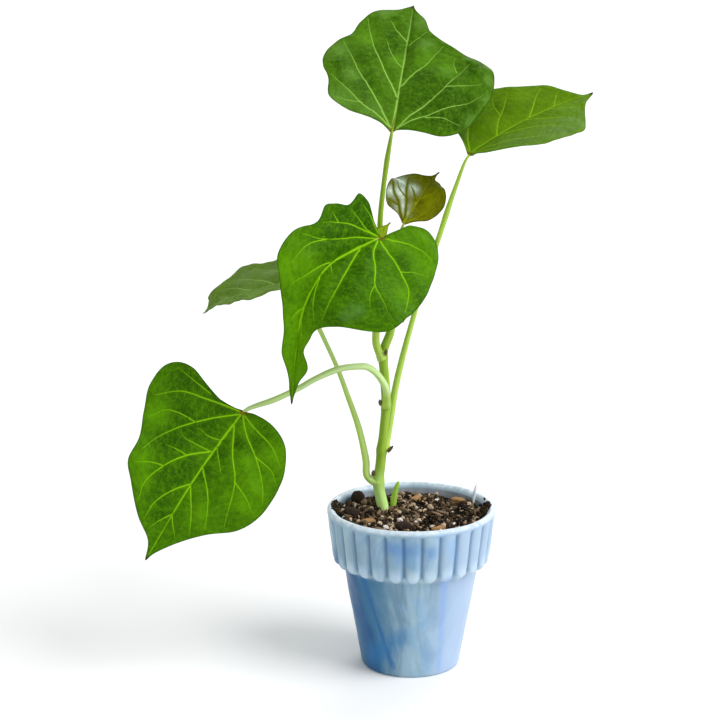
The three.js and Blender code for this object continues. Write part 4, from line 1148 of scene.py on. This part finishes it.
# Each streak: two ends, as degrees round from the front and height, half width, wobble, colour and
# how much of it shows.
POT_STREAKS = [
    ((-76, 38), (-50, 4), 9.0, 5.0, DEEP_BLUE, 0.95),
    ((-46, 36), (-22, 4), 2.0, 3.6, (0.002, 0.1, 0.3), 0.95),
    ((-60, 36), (-42, 8), 3.0, 5.0, (0.002, 0.07, 0.22), 0.95),
    ((-50, 6), (-12, 15), 6.5, 7.0, (0.01, 0.15, 0.36), 0.75),
    ((-95, 40), (-80, 12), 4.5, 6.0, (0.005, 0.13, 0.3), 0.7),
    ((-16, 51), (10, 49.5), 5.0, 5.0, MID_BLUE, 0.65),
    ((-8, 47), (6, 44), 3.0, 3.0, (0.12, 0.3, 0.55), 0.4),
    ((-30, 52), (-24, 40), 2.5, 3.0, (0.16, 0.3, 0.45), 0.45),
    ((18, 55), (32, 46), 3.2, 3.6, (0.24, 0.42, 0.7), 0.5),
    ((30.5, 53), (31, 40), 1.6, 1.8, (0.14, 0.32, 0.6), 0.6),
    ((27, 39), (33, 2), 2.2, 2.6, (0.2, 0.36, 0.74), 0.5),
    ((6, 30), (18, 4), 4.0, 6.0, (0.16, 0.34, 0.62), 0.4),
    ((150, 50), (128, 10), 4.5, 8.0, (0.08, 0.28, 0.55), 0.5),
    ((-160, 36), (-120, 8), 4.5, 9.0, (0.05, 0.23, 0.48), 0.55),
    ((152, 20), (172, 34), 3.6, 6.0, (0.08, 0.26, 0.55), 0.5),
    ((110, 54), (96, 22), 2.6, 5.0, (0.25, 0.42, 0.8), 0.4),
]


def pot_material():
    """Opaque pressed glass: a milky body with drawn-out swirls and blue streaks, painted shade in the
    grooves and on the left side, and painted light on the right side.
    """
    material, nodes, shader = new_material(
        "milky_pressed_glass", Subsurface_Weight=0.2, Subsurface_Radius=(0.7, 0.9, 1.0),
        Subsurface_Scale=1.5 * MM, Specular_IOR_Level=0.3, Coat_Weight=0.08, Coat_Roughness=0.2)
    groove, inside, _ = nodes.split(nodes.measure("pot_finish"))
    solid = nodes.solid_place()
    x, y, height = nodes.split(solid)
    turn = nodes.math("ARCTAN2", x, nodes.scaled(y, -1.0))
    side = nodes.math("SINE", turn)
    drawn = nodes.vector("MULTIPLY", solid, (1.0, 1.0, 0.4))
    patches = nodes.use(MOTTLE, place=drawn, density=0.05, contrast=2.0)
    swirl = nodes.step(nodes.noise(drawn, 0.055, 5.0, 0.6, 1.4), 0.38, 0.64)
    fine_swirl = nodes.step(nodes.noise(drawn, 0.16, 5.0, 0.65, 2.0), 0.45, 0.7)
    haze = nodes.step(nodes.noise(drawn, 0.11, 4.0, 0.6, 0.8), 0.5, 0.68)
    # Painted shade darkens the left of the body and painted light pales the right, over the glass's own blue
    # and lavender.
    painted_shade_left = nodes.math("MULTIPLY", nodes.step(side, -0.2, -0.72), nodes.step(height, 40.0, 35.0))
    painted_light_right = nodes.step(side, 0.1, 0.68)
    on_band = nodes.step(height, 36.0, 39.0)
    rib_ends = nodes.math("MULTIPLY", on_band, nodes.step(height, 44.5, 39.5))
    rib_ends = nodes.math("MULTIPLY", rib_ends, nodes.step(groove, 0.5, 0.0))
    colour = nodes.layers(
        nodes.blend(swirl, GLASS["dull"], GLASS["milky"]), (fine_swirl, 0.4, GLASS["fine_swirl"]),
        (haze, 0.35, GLASS["haze"]), (painted_shade_left, 0.97, GLASS["left_side_painted_shade"]),
        (painted_light_right, 0.85, GLASS["right_side_painted_light"]), (on_band, 0.3, GLASS["band"]),
        (rib_ends, 0.55, GLASS["rib_end"]))
    broken = nodes.step(nodes.noise(drawn, 0.22, 4.0, 0.65, 1.0), 0.25, 0.6, 0.35, 1.0)
    here = nodes.join(nodes.scaled(turn, ARC_RADIUS), height, 0.0)
    for *ends, half_width, wobble, tint, amount in POT_STREAKS:
        start, end = ((math.radians(degrees) * ARC_RADIUS, at_height, 0.0) for degrees, at_height in ends)
        mask = nodes.use(GLASS_STREAK, place=here, grain_place=drawn, start=start, end=end,
                         half_width=half_width, wobble=wobble)["Mask"]
        colour = nodes.layers(colour, (nodes.math("MULTIPLY", mask, broken), amount, tint))
    # Painted shade in the grooves between the ribs.
    painted_groove_shade = nodes.blend(0.6, colour, GLASS["groove"])
    crest = nodes.blend(nodes.step(nodes.noise(solid, 0.35, 4.0, 0.65), 0.3, 0.7), GLASS["lip"],
                        GLASS["lip_crest"])
    inner = nodes.blend(nodes.step(patches["Patches"], 0.2, 0.8), GLASS["inner_dull"], GLASS["inner_milky"])
    colour = nodes.layers(colour, (nodes.step(groove, 0.2, 0.95), 0.85, painted_groove_shade),
                          (nodes.step(height, 55.2, 56.6), 0.8, crest), (inside, 1.0, inner))
    finish(nodes, shader, colour, patches["Grain"], strength=0.25, depth=0.2,
           roughness=nodes.total(0.25, (patches["Grain"], 0.25)))
    return material


pot(pot_material())

# ---------------------------------------------------------------- the potting mix


def granular_material(name, ramp, density=0.6, strength=0.8, use_tint=True, subsurface=0.0):
    """Loose stuff: each bit's own tint picks its colour, with grain and small pits over it."""
    material, nodes, shader = new_material(
        name, Roughness=0.9, Specular_IOR_Level=0.15, Subsurface_Weight=subsurface,
        Subsurface_Radius=(1.0, 0.9, 0.8), Subsurface_Scale=0.5 * MM)
    solid = nodes.solid_place()
    mottle = nodes.use(MOTTLE, place=solid, density=density, contrast=2.2)
    tint = nodes.measure("tint", "Fac") if use_tint else mottle["Patches"]
    dark, middle, pale = ramp
    colour = nodes.blend(nodes.step(tint, 0.0, 0.6), dark, middle)
    colour = nodes.blend(nodes.step(tint, 0.55, 1.0), colour, pale)
    flecks = nodes.step(nodes.noise(solid, 2.6, 2.0), 0.6, 0.72)
    colour = nodes.layers(colour, (mottle["Patches"], 0.45, dark), (flecks, 0.3, pale))
    pits = nodes.use(CELL_NETWORK, place=solid, density=2.2, bend=0.5)
    finish(nodes, shader, colour, nodes.total(0.0, (mottle["Grain"], 0.6), (pits["Swell"], 0.4)), strength,
           depth=0.4)
    return material


def fibre_material(name, dark, middle, pale):
    """Bark and wood chips: fibres along each chip, and dark patches."""
    material, nodes, shader = new_material(name, Roughness=0.8, Specular_IOR_Level=0.2)
    along = nodes.measure("chip_place")
    streaks = nodes.use(LONG_STREAKS, round_place=along, density=1.6, stretch=0.12)["Streaks"]
    mottle = nodes.use(MOTTLE, place=along, density=0.5, contrast=2.0)
    colour = nodes.layers(nodes.blend(nodes.measure("tint", "Fac"), middle, pale), (streaks, 0.45, dark),
                          (mottle["Patches"], 0.3, dark))
    finish(nodes, shader, colour, nodes.math("ADD", streaks, mottle["Grain"]), strength=0.7, depth=0.2)
    return material


MIX_DARK = (0.003, 0.0015, 0.0004)
MIX_RAMP = (MIX_DARK, (0.08, 0.046, 0.018), (0.82, 0.62, 0.42))
# The crust under the loose bits is darker than the crumbs: partly the damp mix's own colour and partly painted
# shade in the gaps between crumbs.
CRUST_RAMP = (MIX_DARK, (0.01, 0.006, 0.002), (0.04, 0.024, 0.01))
CLOD_RAMP = ((0.014, 0.008, 0.006), (0.05, 0.03, 0.022), (0.12, 0.08, 0.06))
GRIT_RAMP = ((0.3, 0.25, 0.2), (0.62, 0.55, 0.48), (0.85, 0.8, 0.74))
ROOT_RAMP = ((0.3, 0.2, 0.12), (0.5, 0.38, 0.24), (0.68, 0.56, 0.4))
CRUST_LOOK = granular_material("potting_mix", CRUST_RAMP, 0.3, use_tint=False)
CRUMB_LOOK = granular_material("mix_crumbs", MIX_RAMP)
CLOD_LOOK = granular_material("mix_clods", CLOD_RAMP, 0.25)
GRAIN_LOOK = granular_material("white_grit", GRIT_RAMP, 0.9, strength=0.5, subsurface=0.2)
BARK_LOOK = fibre_material("bark_chip", (0.08, 0.035, 0.012), (0.34, 0.17, 0.06), (0.6, 0.38, 0.17))
BROWN_FIBRE_LOOK = fibre_material("brown_fibre", (0.03, 0.018, 0.008), (0.12, 0.075, 0.04), (0.3, 0.2, 0.12))
ROOT_LOOK = granular_material("root_skin", ROOT_RAMP, 0.4, use_tint=False)


def crust_height(x, y):
    """The uneven top of the mix, heaped a little at the left and round the stem."""
    place = np.stack([x, y], -1)
    uneven = 0.5 * ripple(place, 9, 43) + 0.32 * ripple(place, 3.4, 44) + 0.16 * ripple(place, 1.5, 45)
    heap = 1.3 * np.exp(-(((x + 21) / 7) ** 2 + ((y - 2) / 13) ** 2))
    mound = 0.8 * np.exp(-(((x + 9) / 6) ** 2 + ((y - 7) / 6) ** 2))
    right = 0.8 * np.exp(-(((x - 20) / 6) ** 2 + ((y - 6) / 12) ** 2))
    return SOIL_TOP + 0.75 + uneven * 0.6 + heap + mound + right


CRUST_REACH = 25.35
CRUST_EDGE_DEPTH = 1.5  # how far its edge goes down into the soil


def crust():
    rings, columns = 72, 168
    radius = np.concatenate([np.linspace(0.2, CRUST_REACH, rings), [CRUST_REACH - 0.1]])
    angle = np.arange(columns) / columns * TURN
    x, y = radius[:, None] * np.cos(angle), radius[:, None] * np.sin(angle)
    z = crust_height(x, y)
    z[-1] = SOIL_TOP - CRUST_EDGE_DEPTH
    points = np.stack([x, y, z], -1).reshape(-1, 3)
    faces, caps = tube_faces(len(radius), columns)
    make_piece("potting_mix_crust", points, faces, CRUST_LOOK, caps=caps)


def ball(subdivisions):
    """The corners and faces of a unit ball of triangles."""
    mesh = bmesh.new()
    bmesh.ops.create_icosphere(mesh, subdivisions=subdivisions, radius=1.0)
    points = np.array([v.co[:] for v in mesh.verts])
    faces = np.array([[v.index for v in face.verts] for face in mesh.faces])
    mesh.free()
    return points, faces


def random_turns(random, count):
    q = unit(random.normal(size=(count, 4)))
    w, x, y, z = q.T
    return np.stack([
        np.stack([1 - 2 * (y * y + z * z), 2 * (x * y - z * w), 2 * (x * z + y * w)], -1),
        np.stack([2 * (x * y + z * w), 1 - 2 * (x * x + z * z), 2 * (y * z - x * w)], -1),
        np.stack([2 * (x * z - y * w), 2 * (y * z + x * w), 1 - 2 * (x * x + y * y)], -1),
    ], 1)


def disc_places(random, count):
    """All over the mix."""
    angle = random.uniform(0, TURN, count)
    radius = np.sqrt(random.uniform(0, 1, count)) * 24.6
    return radius * np.cos(angle), radius * np.sin(angle)


def rim_places(random, count):
    """Spilt crumbs on the lip, in a patch at the left and one at the right."""
    left = random.random(count) < 0.6
    angle = np.where(left, random.normal(-1.6, 0.1, count), random.normal(1.62, 0.08, count))
    radius = random.uniform(24.4, 27.7, count)
    return radius * np.sin(angle), -radius * np.cos(angle)


def rim_height(x, y):
    """The lip, which falls away inwards from its crest."""
    return 56.95 - np.clip(26.9 - np.hypot(x, y), 0, 5) * 1.3


def wall_places(random, count):
    """Crumbs banked up against the inside wall."""
    angle = random.uniform(0, TURN, count)
    radius = random.uniform(23.6, 25.3, count)
    return radius * np.cos(angle), radius * np.sin(angle)


def scatter(name, count, sizes, shape, material, seed, subdivisions=1, boxy=1.0, rough=0.22, lift=0.25,
            tints=(0, 1), tint_power=1.6, places=disc_places, base=crust_height, lie_flat=False):
    """Many loose bits in one piece: each has its own size, turn, dents and tint."""
    random = np.random.default_rng(seed)
    unit_points, unit_faces = ball(subdivisions)
    unit_points = np.sign(unit_points) * np.abs(unit_points) ** boxy
    corner_count = len(unit_points)
    size = random.uniform(*sizes, count)
    stretch = np.array(shape) * random.uniform(0.75, 1.3, (count, 3))
    dents = 1 + rough * random.normal(size=(count, corner_count, 1)).clip(-1.5, 1.5)
    local = unit_points[None] * dents * (stretch * size[:, None])[:, None, :]
    if lie_flat:
        yaw, tip = random.uniform(0, TURN, count), random.normal(0, 0.22, count)
        turns = np.stack([np.stack([np.cos(yaw), -np.sin(yaw), 0 * yaw], -1),
                          np.stack([np.sin(yaw), np.cos(yaw), 0 * yaw], -1),
                          np.stack([np.sin(tip), 0 * yaw, 1 + 0 * yaw], -1)], 1)
    else:
        turns = random_turns(random, count)
    x, y = places(random, count)
    z = base(x, y) + size * lift
    corners = np.einsum("nij,nkj->nki", turns, local) + np.stack([x, y, z], -1)[:, None]
    faces = (unit_faces[None] + (np.arange(count) * corner_count)[:, None, None]).reshape(-1, 3)
    tint = random.uniform(0, 1, count) ** tint_power * (tints[1] - tints[0]) + tints[0]
    chip_place = local[..., [1, 2, 0]].reshape(-1, 3)
    chip_place = chip_place + np.repeat(random.uniform(0, 90, count), corner_count)[:, None]
    measures = {"tint": np.repeat(tint, corner_count), "chip_place": chip_place}
    return make_piece(name, corners.reshape(-1, 3), faces, material, measures, flat=subdivisions < 2)


crust()
scatter("fine_crumbs", 3200, (0.22, 0.5), (1.0, 0.85, 0.7), CRUMB_LOOK, 51, tints=(0, 0.85),
        tint_power=2.0)
scatter("loose_crumbs", 700, (0.4, 0.95), (1.1, 0.85, 0.7), CRUMB_LOOK, 52, rough=0.16,
        subdivisions=2, lift=0.45, tint_power=1.35)
scatter("large_crumbs", 120, (0.8, 1.5), (1.1, 0.85, 0.65), CRUMB_LOOK, 53, rough=0.08,
        subdivisions=3, lift=0.35, tint_power=1.5)
scatter("wall_crumbs", 300, (0.4, 0.9), (1.0, 0.9, 0.8), CRUMB_LOOK, 54, rough=0.18,
        places=wall_places, tints=(0, 0.6))
scatter("rim_crumbs", 260, (0.25, 0.6), (1.2, 1.0, 0.6), CRUMB_LOOK, 55, rough=0.1,
        subdivisions=2, lift=0.0, places=rim_places, base=rim_height, tints=(0, 0.6))
scatter("brown_fibres", 110, (1.2, 2.6), (1.0, 0.26, 0.2), BROWN_FIBRE_LOOK, 56, rough=0.1, boxy=0.7,
        subdivisions=2, lift=0.22, lie_flat=True)
scatter("tan_chips", 40, (0.6, 1.3), (1.0, 0.45, 0.32), BARK_LOOK, 57, rough=0.09, boxy=0.7,
        subdivisions=2, lift=0.35, lie_flat=True)
scatter("white_grit", 60, (0.35, 0.75), (1.0, 0.9, 0.8), GRAIN_LOOK, 58, rough=0.12, boxy=0.85,
        subdivisions=2, lift=0.5, tints=(0.3, 1.0), tint_power=1.0)

# The large lumps: centre with its height above the mix, half lengths and turn in degrees.
LUMPS = {
    "clod_back_left": ((-18.6, 13, 3.6), (2.4, 2.2, 2.5), 20),
    "clod_left": ((-20.5, -1, 2.4), (3.2, 2.2, 1.9), -30),
    "clod_front": ((-3, -14.5, 2.2), (2.8, 2.4, 1.7), 10),
    "bark_chip_left": ((-15, -8.5, 1.8), (2.5, 1.3, 1.0), 15),
    "bark_chip_front": ((9, -16, 1.7), (2.6, 1.05, 0.95), 25),
    "bark_chip_right": ((17, 14.5, 1.9), (2.8, 1.3, 1.1), -35),
    "bark_chip_back": ((2, 17, 1.8), (2.2, 1.3, 1.0), 60),
    "perlite_front": ((-9, -14, 1.5), (1.0, 0.85, 0.75), 0),
    "perlite_middle": ((-4, -6, 1.5), (1.0, 0.85, 0.8), 40),
    "perlite_back": ((9.5, 15.5, 1.5), (1.0, 0.85, 0.75), 70),
}
LUMP_KINDS = {
    # kind: look, slot, boxy power, dent size and depth, tint
    "clod": (CLOD_LOOK, "potting_soil", 0.95, 1.6, 0.13, 0.35),
    "bark": (BARK_LOOK, "bark", 0.62, 1.3, 0.1, 0.35),
    "perlite": (GRAIN_LOOK, "perlite", 0.8, 0.9, 0.1, 0.85),
}


def lump(name, centre, size, degrees, seed):
    look, slot, boxy, dent_size, depth, tint = LUMP_KINDS[name.split("_")[0]]
    corners, faces = ball(5)
    corners = unit(corners)
    local = np.sign(corners) * np.abs(corners) ** boxy * size
    dents = ripple(local, dent_size, seed) * depth + ripple(local, dent_size * 0.4, seed + 1) * depth * 0.45
    if name.startswith("bark"):
        dents = ripple(local * (0.15, 1, 1), 0.7, seed) * depth * 0.7 + ripple(local, 2.5, seed) * depth
    local = local * (1 + dents[:, None] / np.array(size).clip(1))
    angle = math.radians(degrees)
    x, y, z = local.T
    turned = np.column_stack([x * math.cos(angle) - y * math.sin(angle),
                              x * math.sin(angle) + y * math.cos(angle), z])
    x, y, height = centre
    measures = {"tint": np.full(len(local), tint), "chip_place": local[:, [1, 2, 0]]}
    return make_piece(f"{name}_shaped", turned + (x, y, SOIL_TOP + height), faces, look, measures,
                      replaces=[name])


for index, (lump_name, (centre, size, degrees)) in enumerate(LUMPS.items()):
    lump(lump_name, centre, size, degrees, 61 + 2 * index)

stalk("dry_wisp_strand", [(21.9, 6, 56), (22.2, 6, 59), (22.9, 6, 63)], [0.3, 0.5, 0.6, 0.5, 0.12],
      STALK_LOOKS["wisp"], [], sides=16, ring_step=0.3, seed=83)


def finish_cad_node(node, material):
    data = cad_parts[node].data
    data.materials.clear()
    data.materials.append(material)


finish_cad_node("soil", CRUST_LOOK)
finish_cad_node("roots", ROOT_LOOK)

# ---------------------------------------------------------------- floor, light and camera


def floor():
    mesh = bpy.data.meshes.new("studio_floor")
    side = FLOOR_REACH
    corners = [(-side, -side, 0), (side, -side, 0), (side, side, 0), (-side, side, 0)]
    mesh.from_pydata(corners, [], [(0, 1, 2, 3)])
    material, nodes, shader = new_material("pale_floor", Roughness=0.7)
    solid = nodes.add("ShaderNodeTexCoord").outputs["Object"]
    colour = nodes.blend(nodes.noise(solid, 3.0), (0.84, 0.84, 0.84), (0.87, 0.87, 0.87))
    nodes.feed(shader.inputs["Base Color"], colour)
    mesh.materials.append(material)
    plane = bpy.data.objects.new("studio_floor", mesh)
    bpy.context.scene.collection.objects.link(plane)


def soft_sun(name, towards, strength, spread_degrees):
    light = bpy.data.lights.new(name, "SUN")
    light.energy = strength
    light.angle = math.radians(spread_degrees)
    lamp = bpy.data.objects.new(name, light)
    lamp.rotation_euler = Vector(towards).to_track_quat("Z", "Y").to_euler()
    bpy.context.scene.collection.objects.link(lamp)


SOFT_SKY = 0.62  # how strong the sky is as a light
WHITE_BACKDROP = 1.1  # and as it is seen behind the plant
SKY_COLOUR = (0.97, 0.985, 1.0, 1)
# Name, the way to the light, strength and width in degrees.
SOFT_SUNS = [
    ("key_from_the_right", (0.62, -0.3, 0.72), 2.5, 40),
    ("rim_from_behind", (0.35, 0.85, 0.5), 0.9, 40),
    ("fill_from_the_front", (-0.4, -0.8, 0.45), 0.35, 60),
]


def studio():
    floor()
    world = bpy.data.worlds.new("studio_air")
    world.use_nodes = True
    air = Nodes(world.node_tree)
    background = world.node_tree.nodes["Background"]
    background.inputs["Color"].default_value = SKY_COLOUR
    seen = air.add("ShaderNodeLightPath").outputs["Is Camera Ray"]
    air.feed(background.inputs["Strength"], air.step(seen, 0.0, 1.0, SOFT_SKY, WHITE_BACKDROP))
    bpy.context.scene.world = world
    bpy.context.scene.view_settings.view_transform = "Standard"
    for sun in SOFT_SUNS:
        soft_sun(*sun)


def camera():
    data = bpy.data.cameras.new("camera")
    data.lens = CAMERA_LENS
    data.clip_end = 100
    viewer = bpy.data.objects.new("camera", data)
    viewer.location = Vector(CAMERA_PLACE) * MM
    viewer.rotation_euler = (math.radians(CAMERA_PITCH), 0, 0)
    bpy.context.scene.collection.objects.link(viewer)
    bpy.context.scene.camera = viewer


studio()
camera()
